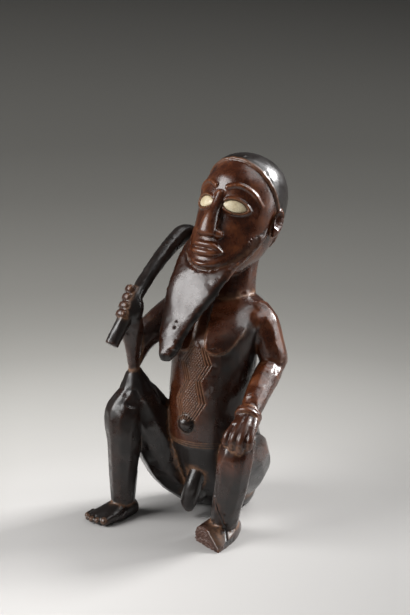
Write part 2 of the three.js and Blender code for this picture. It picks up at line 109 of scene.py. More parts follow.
# %% A smooth line through stations
def curve_point(rows, share):
    """A smooth curve through the rows, a share of the way from the first to the last."""
    rows = np.asarray(rows, float)
    last = len(rows) - 1
    span = min(int(share * last), last - 1)
    w = share * last - span
    p1, p2 = rows[span], rows[span + 1]
    p0 = rows[span - 1] if span else 2 * p1 - p2
    p3 = rows[span + 2] if span + 2 <= last else 2 * p2 - p1
    d0, d1, d2 = (
        max(np.linalg.norm(b - a), 1e-4) ** 0.5 for a, b in ((p0, p1), (p1, p2), (p2, p3))
    )
    m1 = d1 * ((p1 - p0) / d0 - (p2 - p0) / (d0 + d1) + (p2 - p1) / d1)
    m2 = d1 * ((p2 - p1) / d1 - (p3 - p1) / (d1 + d2) + (p3 - p2) / d2)
    bend = -3 * p1 + 3 * p2 - 2 * m1 - m2
    return p1 + w * m1 + w * w * bend + w ** 3 * (2 * p1 - 2 * p2 + m1 + m2)


def curve_heading(rows, share, step=1e-3):
    ahead = curve_point(rows, min(share + step, 1)) - curve_point(rows, max(share - step, 0))
    return unit(ahead)


def squared_circle(count, power):
    """A circle at power 2, and squarer above it."""
    angles = np.arange(count) / count * 2 * np.pi
    c, s = np.cos(angles), np.sin(angles)
    bend = 2 / power
    return np.sign(c) * abs(c) ** bend, np.sign(s) * abs(s) ** bend


print("a quarter along a line:", curve_point([[0, 0, 0], [10, 0, 0], [20, 5, 0]], 0.25).round(2))

# %% Draw a closed form out of one ring
forms = []


def draw_out(name, rings):
    """Extrudes the first ring to each of the next. Both ends are closed."""
    bpy.ops.object.select_all(action="DESELECT")
    bpy.ops.mesh.primitive_circle_add(vertices=len(rings[0]), radius=0.01, fill_type="NGON")
    form = bpy.context.active_object
    form.name = name
    bpy.ops.object.mode_set(mode="EDIT")
    shape = bmesh.from_edit_mesh(form.data)
    shape.verts.layers.int.new("order")
    for number, ring in enumerate(rings):
        if number:
            bpy.ops.mesh.extrude_region_move()
        shape = bmesh.from_edit_mesh(form.data)
        order = shape.verts.layers.int["order"]
        for i, vert in enumerate(v for v in shape.verts if v.select):
            if not number:
                vert[order] = i
            vert.co = to_frame(ring[vert[order]])
    bmesh.update_edit_mesh(form.data)
    bpy.ops.mesh.select_all(action="SELECT")
    bpy.ops.mesh.normals_make_consistent(inside=False)
    bpy.ops.object.mode_set(mode="OBJECT")
    forms.append(form)
    return form


def trim(form, place, normal):
    """Saws the form along a plane and keeps the side that the normal points away from."""
    bpy.ops.object.select_all(action="DESELECT")
    form.select_set(True)
    bpy.context.view_layer.objects.active = form
    bpy.ops.object.mode_set(mode="EDIT")
    bpy.ops.mesh.select_all(action="SELECT")
    bpy.ops.mesh.bisect(
        plane_co=tuple(place), plane_no=Vector(normal).normalized(), use_fill=True,
        clear_outer=True, threshold=1e-7,
    )
    bpy.ops.object.mode_set(mode="OBJECT")


# %% Limbs
# degrees round a blunt end, and how far it reaches out
ROUND_END = (25, 50, 68, 82)
END_REACH = 1.2


def flat_sided(count, flats, power):
    """A squared circle with straight sides, as a knife leaves it."""
    corner_c, corner_s = squared_circle(flats, power)
    at = np.arange(count) * flats / count
    corner, share = at.astype(int), at % 1
    after = (corner + 1) % flats
    return (corner_c[corner] * (1 - share) + corner_c[after] * share,
            corner_s[corner] * (1 - share) + corner_s[after] * share)


def limb_rings(stations, sides=40, steps=26, front=(0, -1, 0), blunt=(0.3, 0.3), flats=0):
    """Stations are [place, half width, half thickness] and may have the power of the section."""
    places = [row[0] for row in stations]
    sizes = [[row[1], row[2], row[3] if len(row) > 3 else 2] for row in stations]

    def ring(share, shrink, push):
        along = curve_heading(places, share)
        side = unit(np.cross(front, along))
        face = np.cross(along, side)
        wide, thick, power = curve_point(sizes, share)
        c, s = flat_sided(sides, flats, power) if flats else squared_circle(sides, power)
        middle = curve_point(places, share) + along * push * min(wide, thick)
        return middle + shrink * (np.outer(c, side) * wide + np.outer(s, face) * thick)

    ends = [math.radians(angle) for angle in ROUND_END]
    rings = [ring(0, math.cos(a), -END_REACH * blunt[0] * math.sin(a)) for a in reversed(ends)]
    rings += [ring(step / steps, 1, 0) for step in range(steps + 1)]
    rings += [ring(1, math.cos(a), END_REACH * blunt[1] * math.sin(a)) for a in ends]
    return rings


def limb(name, stations, **shape):
    return draw_out(name, limb_rings(stations, **shape))


# %% Upright forms, such as a trunk
def level_section(levels, share):
    """Half width, middle of the depth, height, and front and back depth, a share of the way up."""
    middle = curve_point([[wide, y, z] for z, y, wide, *_ in levels], share)
    depth = curve_point([[front, back, 0] for _, _, _, front, back in levels], share)
    return middle[0], middle[1], middle[2], depth[0], depth[1]


def upright(levels, sides, steps):
    """Level rings. Each level is [height, middle, half width, front depth, back depth]."""
    rings = []
    for step in range(steps + 1):
        wide, y, z, front, back = level_section(levels, step / steps)
        c, s = squared_circle(sides, 2)
        ring = np.stack([c * wide, y + s * np.where(s < 0, front, back), np.full(sides, z)], 1)
        rings.append(ring)
    return rings


def front_point(levels, x, z):
    """The point of an upright form's front at this x and height."""
    low, high = 0.0, 1.0
    for _ in range(24):
        share = (low + high) / 2
        if level_section(levels, share)[2] < z:
            low = share
        else:
            high = share
    wide, y, _, front, _ = level_section(levels, low)
    return np.array([x, y - front * math.sqrt(1 - (x / wide) ** 2), z])


# %% Soft bosses
# the share of the half turn that a boss leaves flat at each pole
POLE = 0.02


def boss(name, place, half, turn=(0, 0, 0), set_on=None, sides=32, steps=18):
    """A soft ellipsoid boss. set_on takes it onto the head."""
    turned = np.array(Euler([math.radians(a) for a in turn], "XYZ").to_matrix())
    rings = []
    for step in range(steps + 1):
        tilt = math.pi * (POLE + (1 - 2 * POLE) * step / steps)
        c, s = squared_circle(sides, 2)
        level = np.full(sides, -math.cos(tilt))
        ball = np.stack([c * math.sin(tilt), s * math.sin(tilt), level], 1)
        ring = (ball * half) @ turned.T + place
        rings.append(set_on(ring) if set_on else ring)
    draw_out(name, rings)


# %% [markdown]
# ### Trunk
#
# The trunk is a round column that swells at the belly and the buttocks and leans back
# towards the neck. Sections up its height are the natural way to give that, with a deeper
# back than front where the real one has it.

# %% Trunk and neck
TRUNK_LEVELS = [
    [-3, 9, 13, 9, 9], [0, 8, 16, 12, 12], [4, 6, 19, 17, 17], [12, 4, 22, 21.5, 21],
    [22, 3, 24, 24.5, 25], [34, 1.5, 25, 27, 26], [46, -1, 24.6, 27.5, 24.5],
    [58, -2.5, 24, 26, 23.5], [70, -3, 23.4, 24, 23.5], [82, -2, 23, 23.5, 24],
    [94, 0, 23.5, 24, 25], [102, 3, 25, 24.5, 24.5], [109, 7, 26, 20.5, 21],
    [114.5, 11, 24, 14.5, 17], [118.5, 14, 18, 10, 13], [120.5, 16, 10, 6, 8],
]
NECK = [
    [[0, 15, 106], 14.5, 14.5], [[0, 18.5, 118], 13.2, 13.2], [[0, 22, 132], 12.3, 12.5],
    [[0, 27, 146], 13, 14], [[0, 30, 155], 12, 14],
]
NAVEL = {"height": 56.8, "radius": 5.0, "rise": 3.4}
MIDLINE = {"navel": -2.5, "lean": 0.105}
TRUNK_MESH = {"sides": 72, "steps": 64}


def midline(height):
    """The middle of the front leans over to the left on its way up."""
    return MIDLINE["navel"] + MIDLINE["lean"] * (height - NAVEL["height"])


draw_out("trunk", upright(TRUNK_LEVELS, **TRUNK_MESH))
limb("neck", NECK)
navel_skin = front_point(TRUNK_LEVELS, midline(NAVEL["height"]), NAVEL["height"])
boss("navel", navel_skin + [0, NAVEL["radius"] - NAVEL["rise"], 0], [NAVEL["radius"]] * 3)
print("trunk, neck and navel:", len(forms), "forms")

# %% [markdown]
# ### Limbs
#
# Arms and legs meet at the right knee, where the elbow stands on it in one narrow waist of
# wood. The left forearm comes forward over the thigh, and its hand hangs over the knee.

# %% Arms
# straight sides that the knife left round each limb
FLATS = 10
RIGHT_UPPER_ARM = [
    [[-19, 14, 112], 8.5, 8.5], [[-24, 6, 110.5], 9, 9], [[-29.2, -9, 104.7], 8.8, 9],
    [[-33.7, -20, 97.5], 7, 7.2], [[-35.3, -26.8, 84.5], 2.9, 2.9],
]
RIGHT_FOREARM = [
    [[-35.5, -27, 81.5], 2.8, 2.8], [[-34.9, -28.4, 89], 3.6, 3.8],
    [[-33.8, -30.5, 100], 5.2, 5.4], [[-33.3, -32, 110], 6.2, 6], [[-33, -32.8, 117], 5.6, 5.2],
]
LEFT_UPPER_ARM = [
    [[17, 14, 111.5], 8.5, 8.5], [[24.2, 10.2, 106.5], 8.6, 8.8], [[28, 8.8, 98], 8.2, 8.6],
    [[31.4, 8.6, 87.5], 7.4, 8], [[31.2, 7.4, 82.5], 6, 6.4],
]
LEFT_ARMPIT = {"place": [21.5, 8, 109], "half": [7.5, 9, 6.5]}
LEFT_FOREARM = [
    [[30.6, 11, 86.5], 6, 6], [[31.8, 1, 82.5], 7, 7.6], [[33.4, -14, 75.5], 6.4, 6.8],
    [[35.2, -27, 68.8], 5.2, 5.4],
]
for name, stations in (
    ("right_upper_arm", RIGHT_UPPER_ARM), ("right_forearm", RIGHT_FOREARM),
    ("left_upper_arm", LEFT_UPPER_ARM), ("left_forearm", LEFT_FOREARM),
):
    limb(name, stations, flats=FLATS)
boss("left_armpit", LEFT_ARMPIT["place"], LEFT_ARMPIT["half"])
print("arms:", len(forms), "forms")

# %% Legs
RIGHT_THIGH = [
    [[-12, 1, 11.5], 14, 15], [[-21.5, -8.5, 26], 15, 17.5], [[-30, -18.6, 51], 13.5, 16],
    [[-35, -25, 69], 10.3, 10.5], [[-35.3, -26, 76], 7, 7.2], [[-35.5, -27, 83.5], 2.9, 2.9],
]
RIGHT_SHIN = [
    [[-35.6, -27, 68], 8.6, 8.6], [[-38.2, -32, 57], 11.6, 11], [[-37, -35.5, 42], 9.4, 9.4],
    [[-36.8, -37.5, 24], 7.8, 7.8], [[-36.6, -38.5, 9], 6.6, 6.6],
]
LEFT_THIGH = [
    [[9, 3, 15], 13, 14], [[21, -7, 31], 14.5, 15], [[29.4, -21, 45], 12.8, 13.4],
    [[33.6, -33, 53], 9.4, 9],
]
LEFT_SHIN = [
    [[34, -34.5, 57], 8.8, 8.8], [[33, -37.7, 47], 9.6, 9.6], [[31.2, -38.3, 34], 9, 9],
    [[28.4, -39, 19], 8.2, 8.2], [[26.6, -38, 9], 7.6, 7.6],
]
for name, stations in (
    ("right_thigh", RIGHT_THIGH), ("right_shin", RIGHT_SHIN),
    ("left_thigh", LEFT_THIGH), ("left_shin", LEFT_SHIN),
):
    limb(name, stations, sides=50, steps=34, flats=FLATS)
print("legs:", len(forms), "forms")

# %% [markdown]
# ### Feet
#
# The right foot is whole, with five short toes. The left foot has lost its front, and the
# stump was cut into two flat facets. So we draw the left foot whole as well, and saw it off
# along the break and the facets, as it happened to the real one.

# %% Feet and toes
RIGHT_FOOT = [
    [[-35, -32, 3.6], 5.4, 5], [[-36.8, -38, 4.4], 6.6, 6], [[-39.6, -46, 3.6], 8, 5],
    [[-43, -52.5, 2.4], 8.6, 3.4], [[-43.8, -54.4, 2.2], 8.2, 2.8],
]
LEFT_FOOT = [
    [[25.4, -29.5, 4], 6.8, 5.4, 2.6], [[25.6, -37, 5], 8.8, 6.6, 3],
    [[24.4, -46, 4], 10.2, 5.6, 3.4], [[22.6, -58, 3], 10.8, 5, 3.4],
]
FOOT_BREAK = {"place": [22, -51.6, 0], "normal": [-0.4, -0.91, 0.1]}
STUMP_FACETS = [
    {"place": [29.7, -54.8, 4], "normal": [0.427, -0.418, 0.802]},
    {"place": [33.5, -46.7, 6.2], "normal": [0.648, -0.156, 0.746]},
]
TOE_ROOT = [1.6, 5, 0.9]
TOE_TAPER = 0.9
ROUND_TIP = (0, 0.8)
TOES = [
    [[-37.6, -56.2, 2.8], 2.7], [[-41.8, -56.8, 2.5], 2.1], [[-45.6, -56.4, 2.4], 2],
    [[-48.8, -55, 2.3], 1.9], [[-51.2, -52.4, 2.2], 1.7],
]
limb("right_foot", RIGHT_FOOT, sides=40, front=(0, 0, 1))
left_foot = limb("left_foot", LEFT_FOOT, sides=40, front=(0, 0, 1))
for cut in (FOOT_BREAK, *STUMP_FACETS):
    trim(left_foot, to_frame(cut["place"]), cut["normal"])
for number, (tip, radius) in enumerate(TOES):
    root = [a + b for a, b in zip(tip, TOE_ROOT)]
    limb(
        f"toe_{number}", [[root, radius, radius], [tip, radius, radius * TOE_TAPER]],
        sides=20, steps=8, front=(0, 0, 1), blunt=ROUND_TIP,
    )
print("feet and toes:", len(forms), "forms")

# %% [markdown]
# ### Hands, bracelet and whisk
#
# The left hand is a flat palm with four fingers that bend over the knee, behind a bracelet of
# two coils. The right fist is four short arcs of wood laid round the whisk, which is a long
# flat-sided rod. A finger is a thin limb, so the same tool draws all of them.

# %% Left hand and bracelet
LEFT_PALM = [
    [[35.2, -25, 69.4], 5.2, 4.6], [[36.2, -31, 66.8], 6.6, 3.6], [[37.2, -37, 65], 7.4, 3.2],
]
LEFT_FINGERS = [
    [[33, -30.5, 68.2], [32, -37.6, 65.4], [30.6, -42.8, 61.5], [30.2, -43.8, 58]],
    [[35.2, -31.2, 69.2], [35.4, -38.4, 66], [35, -43.8, 61.5], [34.4, -44.6, 56.6]],
    [[37.6, -31, 69.2], [38.8, -37.8, 65.8], [39, -43.4, 60.8], [38.6, -44, 55.2]],
    [[40, -30, 68.2], [42, -35.8, 64.8], [43, -40.8, 60.8], [42.6, -41.4, 56.8]],
]
FINGER_RADIUS = 2.1
BRACELET = {"place": [34.9, -27.4, 68.2], "coils": [-1.15, 1.15], "radius": 6.2, "wire": 1.15}
limb("left_palm", LEFT_PALM, sides=32, steps=14, front=(0.2, -0.3, 0.9))
for number, places in enumerate(LEFT_FINGERS):
    limb(
        f"left_finger_{number}", [[p, FINGER_RADIUS, FINGER_RADIUS] for p in places],
        sides=20, steps=20, front=(0.5, -0.6, 0.6), blunt=ROUND_TIP,
    )


def coil(name, place, along, radius, wire):
    """One ring of the bracelet: a round section swept about the wrist, closed on itself."""
    side = unit(np.cross(along, (0, 0, 1.0)))
    up = np.cross(side, along)
    rings = []
    for tilt in np.radians(np.arange(-90, 91, 15)):
        c, s = squared_circle(48, 2)
        reach = radius + wire * math.cos(tilt)
        rings.append(place + along * wire * math.sin(tilt) + np.outer(c, side) * reach
                     + np.outer(s, up) * reach)
    draw_out(name, rings)


wrist_line = unit(np.subtract(LEFT_FOREARM[3][0], LEFT_FOREARM[1][0]))
for number, offset in enumerate(BRACELET["coils"]):
    coil(
        f"bracelet_{number}", np.array(BRACELET["place"]) + wrist_line * offset, wrist_line,
        BRACELET["radius"], BRACELET["wire"],
    )
print("left hand and bracelet:", len(forms), "forms")

# %% Fly whisk and the fist round it
WHISK = [
    [[-37.7, -46, 101.7], 3.9, 3.9], [[-32.6, -33, 121.4], 4, 4], [[-32.7, -24, 127.7], 4, 4],
    [[-31.5, -8, 138], 4.3, 4.3], [[-30.6, 8, 145], 4.9, 4.9],
    [[-29.4, 19.5, 147.5], 5.3, 5.3], [[-26, 28.5, 141], 5.2, 5.2],
    [[-22, 29, 128], 4.8, 4.8], [[-19, 24, 116], 4, 4],
]
GRIP = {
    "line": [[-34.2, -36.8, 115.2], [-33, -27.4, 126.2]], "toward": [-0.85, -0.5, 0.1],
    "reach": [3.6, 4.4], "section": [2.3, 2.15, 3], "fingers": 4, "tips": [-80, -55], "roots": 75,
}
FIST_NAIL = {"radius": 1.3, "out": 0.8}
RIGHT_PALM = {"place": [-31.8, -32.4, 118.4], "half": [5.2, 5.2, 8], "turn": [-26, 0, 0]}
limb("whisk", WHISK, steps=70, front=(1, 0, 0), blunt=(0.12, 0.4), flats=FLATS)
boss("right_palm", RIGHT_PALM["place"], RIGHT_PALM["half"], RIGHT_PALM["turn"])
grip_low, grip_high = (np.array(end, float) for end in GRIP["line"])
grip_along = unit(grip_high - grip_low)
grip_side = unit(np.cross(GRIP["toward"], grip_along))
grip_out = np.cross(grip_along, grip_side)
fist_nails = []
for number in range(GRIP["fingers"]):
    share = number / (GRIP["fingers"] - 1)
    reach, tip = (low + share * (high - low) for low, high in (GRIP["reach"], GRIP["tips"]))
    arc = np.radians(np.linspace(tip, GRIP["roots"], 4))
    outward = [math.cos(a) * grip_out + math.sin(a) * grip_side for a in arc]
    middle = grip_low + share * (grip_high - grip_low)
    limb(
        f"right_finger_{number}", [[middle + reach * way, *GRIP["section"]] for way in outward],
        sides=24, steps=18, front=grip_along, blunt=(0.4, 0.4),
    )
    nail_out = reach + GRIP["section"][0] * FIST_NAIL["out"]
    fist_nails.append([middle + nail_out * outward[0], FIST_NAIL["radius"]])
print("whisk and fist:", len(forms), "forms")

# %% Genitals, in simple carved form
PENIS = [
    [[0.8, -21, 27], 4.6, 4.4], [[-0.8, -25, 17], 5, 4.6], [[-2.6, -24.8, 10.5], 4.8, 4.6],
    [[-3.4, -23.8, 5.2], 2.6, 2.6],
]
SCROTUM = {"place": [-2.5, -17.5, 13.5], "half": [6.4, 6, 7]}
limb("penis", PENIS, sides=28, steps=20)
boss("scrotum", SCROTUM["place"], SCROTUM["half"])
print("forms so far:", len(forms))

# %% [markdown]
# ### Head
#
# The head is a deep egg, thrown back by 30 degrees and turned a little to its right. It is
# carved in its own upright frame and set on the neck at the end, which keeps the face
# symmetrical. The cap of hair is a slightly larger head, sawn off at the hairline and nape,
# so that its edge stands up as a crisp step. The face is a calm, general one.

# %% The head's own frame
HEAD_CENTRE = np.array([0, 27, 161.5])
HEAD_PITCH, HEAD_TURN = 30, 7
HEAD_LEVELS = [
    [-38.5, -12, 5, 5, 4], [-36.5, -11, 10, 10, 9], [-32, -8, 14, 13.5, 14],
    [-26, -5, 17, 17, 17], [-20, -2.4, 19.4, 19.3, 20], [-12, -0.6, 21, 20.8, 22.5],
    [-3, -0.5, 22, 22, 25.5], [6, -0.5, 22.2, 23, 26], [13.5, -0.5, 21.4, 22.8, 25.5],
    [20, 0, 19.3, 20.5, 23], [26, 0.5, 15.3, 16.3, 18.5], [30, 1, 9.5, 10.5, 11.5],
    [31.8, 1.5, 3.5, 4, 4.5],
]
HEAD_MESH = {"sides": 64, "steps": 56}
CAP_GROWTH = 1.05
HAIRLINE = {"place": [0, -17.3, 25], "normal": [0, 22, 21]}
NAPE = {"place": [0, 0, -17], "normal": [0, -0.25, 1]}

pitch = Euler((math.radians(-HEAD_PITCH), 0, 0)).to_matrix()
yaw = Euler((0, 0, math.radians(-HEAD_TURN))).to_matrix()
HEAD_AXES = np.array(yaw @ pitch)


def on_head(points):
    """From the head's own upright frame to the carving's."""
    return np.asarray(points, float) @ HEAD_AXES.T + HEAD_CENTRE


def head_frame(points):
    return (points - HEAD_CENTRE) @ HEAD_AXES


draw_out("head", [on_head(r) for r in upright(HEAD_LEVELS, **HEAD_MESH)])
grown = [[z * CAP_GROWTH, y, *(v * CAP_GROWTH for v in rest)] for z, y, *rest in HEAD_LEVELS]
cap = draw_out("cap", [on_head(r) for r in upright(grown, **HEAD_MESH)])
for cut in (HAIRLINE, NAPE):
    trim(cap, to_frame(on_head(cut["place"])), -HEAD_AXES @ np.array(cut["normal"], float))
print("head and cap: face looks along", (HEAD_AXES @ [0, -1, 0]).round(2))

# %% [markdown]
# ### Beard and features
#
# The beard is one long board that hangs free of the chest. Its section is a flat bar with
# rounded corners, widest under the jaw, so it is drawn as levels down from the face. Nose,
# brows and lips are short limbs laid on the face, and the ears are bosses.

# %% Beard board
BEARD_LEVELS = [
    # height, middle across and in depth, half width, thickness, and how far the sides sweep back
    [-89.6, -4.8, -19.5, 2.6, 2.4, 0.2], [-87.5, -4.9, -19.4, 4.2, 3.2, 0.3],
    [-83, -5.2, -19.2, 6.2, 3.8, 0.4], [-76, -5.4, -19, 8.1, 4.2, 0.6],
    [-67, -5, -18.8, 10.5, 4.2, 0.8], [-57, -4, -18.5, 13.6, 4.2, 1],
    [-49, -3, -18.2, 15.9, 4.2, 1.2], [-40, -2, -17.6, 17.6, 4.4, 2],
    [-31, -1.6, -15.5, 18.8, 5, 3.5], [-22, -0.8, -13, 20.6, 6, 5.5],
    [-13, 0, -9.5, 22.2, 6, 6], [-7, 0, -4.5, 21.8, 4, 3],
]
BEARD_POWER = 4.2
BEARD_MESH = {"sides": 56, "steps": 90}


def beard_section(share):
    x, y, z = curve_point([[x, y, z] for z, x, y, *_ in BEARD_LEVELS], share)
    return (x, y, z, *curve_point([row[3:] for row in BEARD_LEVELS], share))


beard_rings = []
for step in range(BEARD_MESH["steps"] + 1):
    x, y, z, wide, thick, sweep = beard_section(step / BEARD_MESH["steps"])
    c, s = squared_circle(BEARD_MESH["sides"], BEARD_POWER)
    beard_rings.append(np.stack(
        [x + c * wide, y + s * thick / 2 + sweep * c * c, np.full(len(c), z)], 1))
draw_out("beard", [on_head(r) for r in beard_rings])
print("beard:", len(beard_rings), "sections")

# %% Features of the face, and ears
NOSE = [
    [0, 5, -1, 2.6, 2.4], [0, -3, 0.2, 3.2, 3.4], [0, -12, 3, 4.6, 4.4],
    [0, -18.6, 3.2, 5.4, 3.6],
]
NOSE_WING = {"x": 5.4, "z": -17.8, "rise": 0.6, "half": [3, 3.4, 2.6], "turn": 20}
BROW = [
    [3, 7.8, 0.1, 1.2, 1.5], [9.6, 10.4, 0, 1.4, 1.6], [16.2, 8.4, -0.1, 1.4, 1.5],
    [20.2, 3.2, -0.2, 1, 1],
]
UPPER_LIP = [[9.8, -26.6, -0.6, 0.9, 1.6], [5, -24.8, 0.6, 1.9, 2.2], [0, -24.8, 0.8, 1.8, 2.2]]
LOWER_LIP = [[9.4, -27.2, -0.6, 0.9, 1.4], [4.8, -28.7, 0.6, 1.8, 2], [0, -29, 0.8, 1.9, 2]]
EAR = {
    "shell": [22.6, 4.6, -1], "half": [3, 5.2, 8], "bowl": [25, 1.6, 0.4],
    "hollow": [2.7, 3.4, 5.4], "turn": 38,
}


def feature(name, rows, side=1, steps=20, blunt=(0.3, 0.3)):
    """A limb laid on the face. Rows are [x, height, lift off the face, half width, thickness]."""
    stations = []
    for x, z, lift, *size in rows:
        skin_point = front_point(HEAD_LEVELS, side * x, z)
        out = np.array([skin_point[0], skin_point[1], 0])
        stations.append([skin_point + unit(out) * lift, *size])
    rings = limb_rings(stations, sides=24, steps=steps, blunt=blunt)
    draw_out(name, [on_head(r) for r in rings])


def across(rows):
    """Adds the mirrored rows, so that half a lip becomes a whole one."""
    return rows + [[-x, *rest] for x, *rest in reversed(rows[:-1])]


feature("nose", NOSE, steps=24, blunt=(0.3, 0.5))
feature("upper_lip", across(UPPER_LIP), steps=32)
feature("lower_lip", across(LOWER_LIP), steps=32)
for side, name in ((1, "left"), (-1, "right")):
    wing = front_point(HEAD_LEVELS, side * NOSE_WING["x"], NOSE_WING["z"])
    boss(f"{name}_wing", wing - [0, NOSE_WING["rise"], 0], NOSE_WING["half"],
         (0, 0, side * NOSE_WING["turn"]), on_head, sides=24, steps=12)
    feature(f"{name}_brow", BROW, side)
    x, y, z = EAR["shell"]
    boss(f"{name}_ear", [side * x, y, z], EAR["half"], (0, 0, side * EAR["turn"]), on_head)
print("forms in all:", len(forms))

# %% [markdown]
# ## One skin over all forms
#
# The real figure has no joins, because it is one block. A boolean union would keep hard
# seams and long thin faces. A voxel remesh lays one even skin over all the forms, fine
# enough for knife work, and a light smoothing rubs its steps away as oil and hands do.
# Before that, each form's points are kept, so that later every point of the skin still
# knows what it belongs to.

# %% Remember which form each point came from
form_names = [form.name for form in forms]
form_points, form_of_point = [], []
for number, form in enumerate(forms):
    co = np.zeros(len(form.data.vertices) * 3, np.float32)
    form.data.vertices.foreach_get("co", co)
    form_points.append(co.reshape(-1, 3))
    form_of_point.append(np.full(len(form.data.vertices), number))
form_points, form_of_point = np.concatenate(form_points), np.concatenate(form_of_point)
print("points on rough forms:", len(form_points))

# %% Join and remesh
VOXEL = 0.45 * MM
RUB = {"factor": 0.5, "iterations": 5}

bpy.ops.object.select_all(action="DESELECT")
for form in forms:
    form.select_set(True)
bpy.context.view_layer.objects.active = forms[0]
bpy.ops.object.join()
carving = bpy.context.active_object
carving.name = "carved_figure"


def apply_modifier(piece, kind, **settings):
    bpy.ops.object.select_all(action="DESELECT")
    piece.select_set(True)
    bpy.context.view_layer.objects.active = piece
    modifier = piece.modifiers.new(kind.lower(), kind)
    for name, value in settings.items():
        setattr(modifier, name, value)
    bpy.ops.object.modifier_apply(modifier=modifier.name)


apply_modifier(carving, "REMESH", mode="VOXEL", voxel_size=VOXEL)
apply_modifier(carving, "SMOOTH", **RUB)
print("one skin:", len(carving.data.vertices), "points")

# %% [markdown]
# ## Knife work
#
# Now the relief. Carving moves each point of the skin a little along its normal, so we read
# the points, normals and edges as arrays, work out how far each point is from each cut, and
# write the points back. The belly scars are finer than the skin's own faces, so the skin is
# subdivided there first.

# %% Read and write the skin
def skin_arrays(piece):
    """Points in carving millimetres, their normals, and the edges between them."""
    mesh = piece.data
    points = np.zeros(len(mesh.vertices) * 3, np.float32)
    mesh.vertices.foreach_get("co", points)
    normals = np.zeros(len(points), np.float32)
    mesh.vertex_normals.foreach_get("vector", normals)
    edges = np.zeros(len(mesh.edges) * 2, np.int32)
    mesh.edges.foreach_get("vertices", edges)
    skin = to_carving(points.reshape(-1, 3))
    return skin, normals.reshape(-1, 3).astype(float), edges.reshape(-1, 2)


def write_skin(piece, points):
    piece.data.vertices.foreach_set("co", to_frame(points).astype(np.float32).ravel())
    piece.data.update()


def renewed(piece, points):
    """Writes the points back and reads the skin again, for its new normals."""
    write_skin(piece, points)
    return skin_arrays(piece)


# %% Soft shapes for cuts and fields
def step_up(low, high, value):
    """0 at low, 1 at high and a soft step between. It falls where low is the larger one."""
    t = np.clip((value - low) / (high - low), 0, 1)
    return t * t * (3 - 2 * t)


def hump(value, width):
    """1 in the middle, and about a third of that one width away."""
    return np.exp(-(value / width) ** 2)


def line_distance(points, corners):
    best = np.full(len(points), np.inf)
    corners = [np.array(c, float) for c in corners]
    for a, b in zip(corners[:-1], corners[1:]):
        ab = b - a
        t = np.clip((points - a) @ ab / (ab @ ab), 0, 1)
        best = np.minimum(best, np.linalg.norm(points - a - t[:, None] * ab, axis=1))
    return best


def spread(field, edges, rounds):
    """Averages each point with its neighbours, so that a field runs out softly."""
    a, b = edges.T
    count = len(field)
    share = np.maximum(np.bincount(a, minlength=count) + np.bincount(b, minlength=count), 1)
    for _ in range(rounds):
        total = np.bincount(a, field[b], count) + np.bincount(b, field[a], count)
        field = 0.5 * field + 0.5 * total / share
    return field


def waves(points, length, seed, count=14):
    """A soft random field with swells about `length` millimetres apart."""
    chance = np.random.default_rng(seed)
    heading = chance.normal(size=(count, 3))
    heading /= np.linalg.norm(heading, axis=1)[:, None]
    pace = 2 * np.pi / (length * chance.uniform(0.7, 1.5, count))
    phase = chance.uniform(0, 2 * np.pi, count)
    total = np.zeros(len(points))
    for way, rate, start in zip(heading, pace, phase):
        total += np.sin(points @ way * rate + start)
    return total / math.sqrt(count / 2)


print("a step half way up:", step_up(0, 1, 0.5), "a hump one width away:", round(hump(1, 1), 2))

# %% Subdivide where the finest cuts go
CRACK = [
    [22.4, -44, 33], [25.3, -45.7, 26.1], [27.2, -47, 20.7], [28.4, -46.7, 17.4],
    [29.3, -46.1, 14.8], [29.8, -45.6, 12.1], [31.6, -45.8, 7.7], [34.2, -48.2, 4.4],
    [34.6, -50, 0],
]
CRACK_ZONE = {"near": 1.1, "front": -43, "left_of": 15}
SCAR_ZONE = {"half_wide": 10.6, "front": -8, "low": 57.5, "high": 102, "facing": -0.35}
crack_line = [(x, z) for x, _, z in CRACK]


def select_faces(piece, marked):
    """Selects each face that has a marked point, and says how many there are."""
    mesh = piece.data
    corners = np.zeros(len(mesh.loops), np.int32)
    mesh.loops.foreach_get("vertex_index", corners)
    starts = np.zeros(len(mesh.polygons), np.int32)
    mesh.polygons.foreach_get("loop_start", starts)
    chosen = np.maximum.reduceat(marked[corners].astype(np.int8), starts) > 0
    mesh.vertices.foreach_set("select", np.zeros(len(mesh.vertices), bool))
    mesh.edges.foreach_set("select", np.zeros(len(mesh.edges), bool))
    mesh.polygons.foreach_set("select", chosen)
    return int(chosen.sum())


points, normals, edges = skin_arrays(carving)
x, y, z = points.T
fine = (abs(x - midline(z)) < SCAR_ZONE["half_wide"]) & (y < SCAR_ZONE["front"])
fine &= (z > SCAR_ZONE["low"]) & (z < SCAR_ZONE["high"]) & (normals[:, 1] < SCAR_ZONE["facing"])
near_crack = line_distance(points[:, [0, 2]], crack_line) < CRACK_ZONE["near"]
fine |= near_crack & (y < CRACK_ZONE["front"]) & (x > CRACK_ZONE["left_of"])
chosen = select_faces(carving, fine)
bpy.context.tool_settings.mesh_select_mode = (False, False, True)
bpy.ops.object.mode_set(mode="EDIT")
bpy.ops.mesh.subdivide(number_cuts=1, smoothness=0)
bpy.ops.object.mode_set(mode="OBJECT")
bpy.context.tool_settings.mesh_select_mode = (True, False, False)
points, normals, edges = skin_arrays(carving)
print("subdivided faces:", chosen, "points now:", len(points))

# %% Tell each point which form it belongs to
tree = KDTree(len(form_points))
for number, co in enumerate(form_points):
    tree.insert(co, number)
tree.balance()
nearest = np.array([tree.find(co)[1] for co in to_frame(points)])
belongs = form_of_point[nearest]


def part_of(*starts_with):
    wanted = [i for i, name in enumerate(form_names) if name.startswith(starts_with)]
    return np.isin(belongs, wanted)


for name in ("trunk", "head", "cap", "beard", "whisk"):
    print(name, int(part_of(name).sum()), "points")

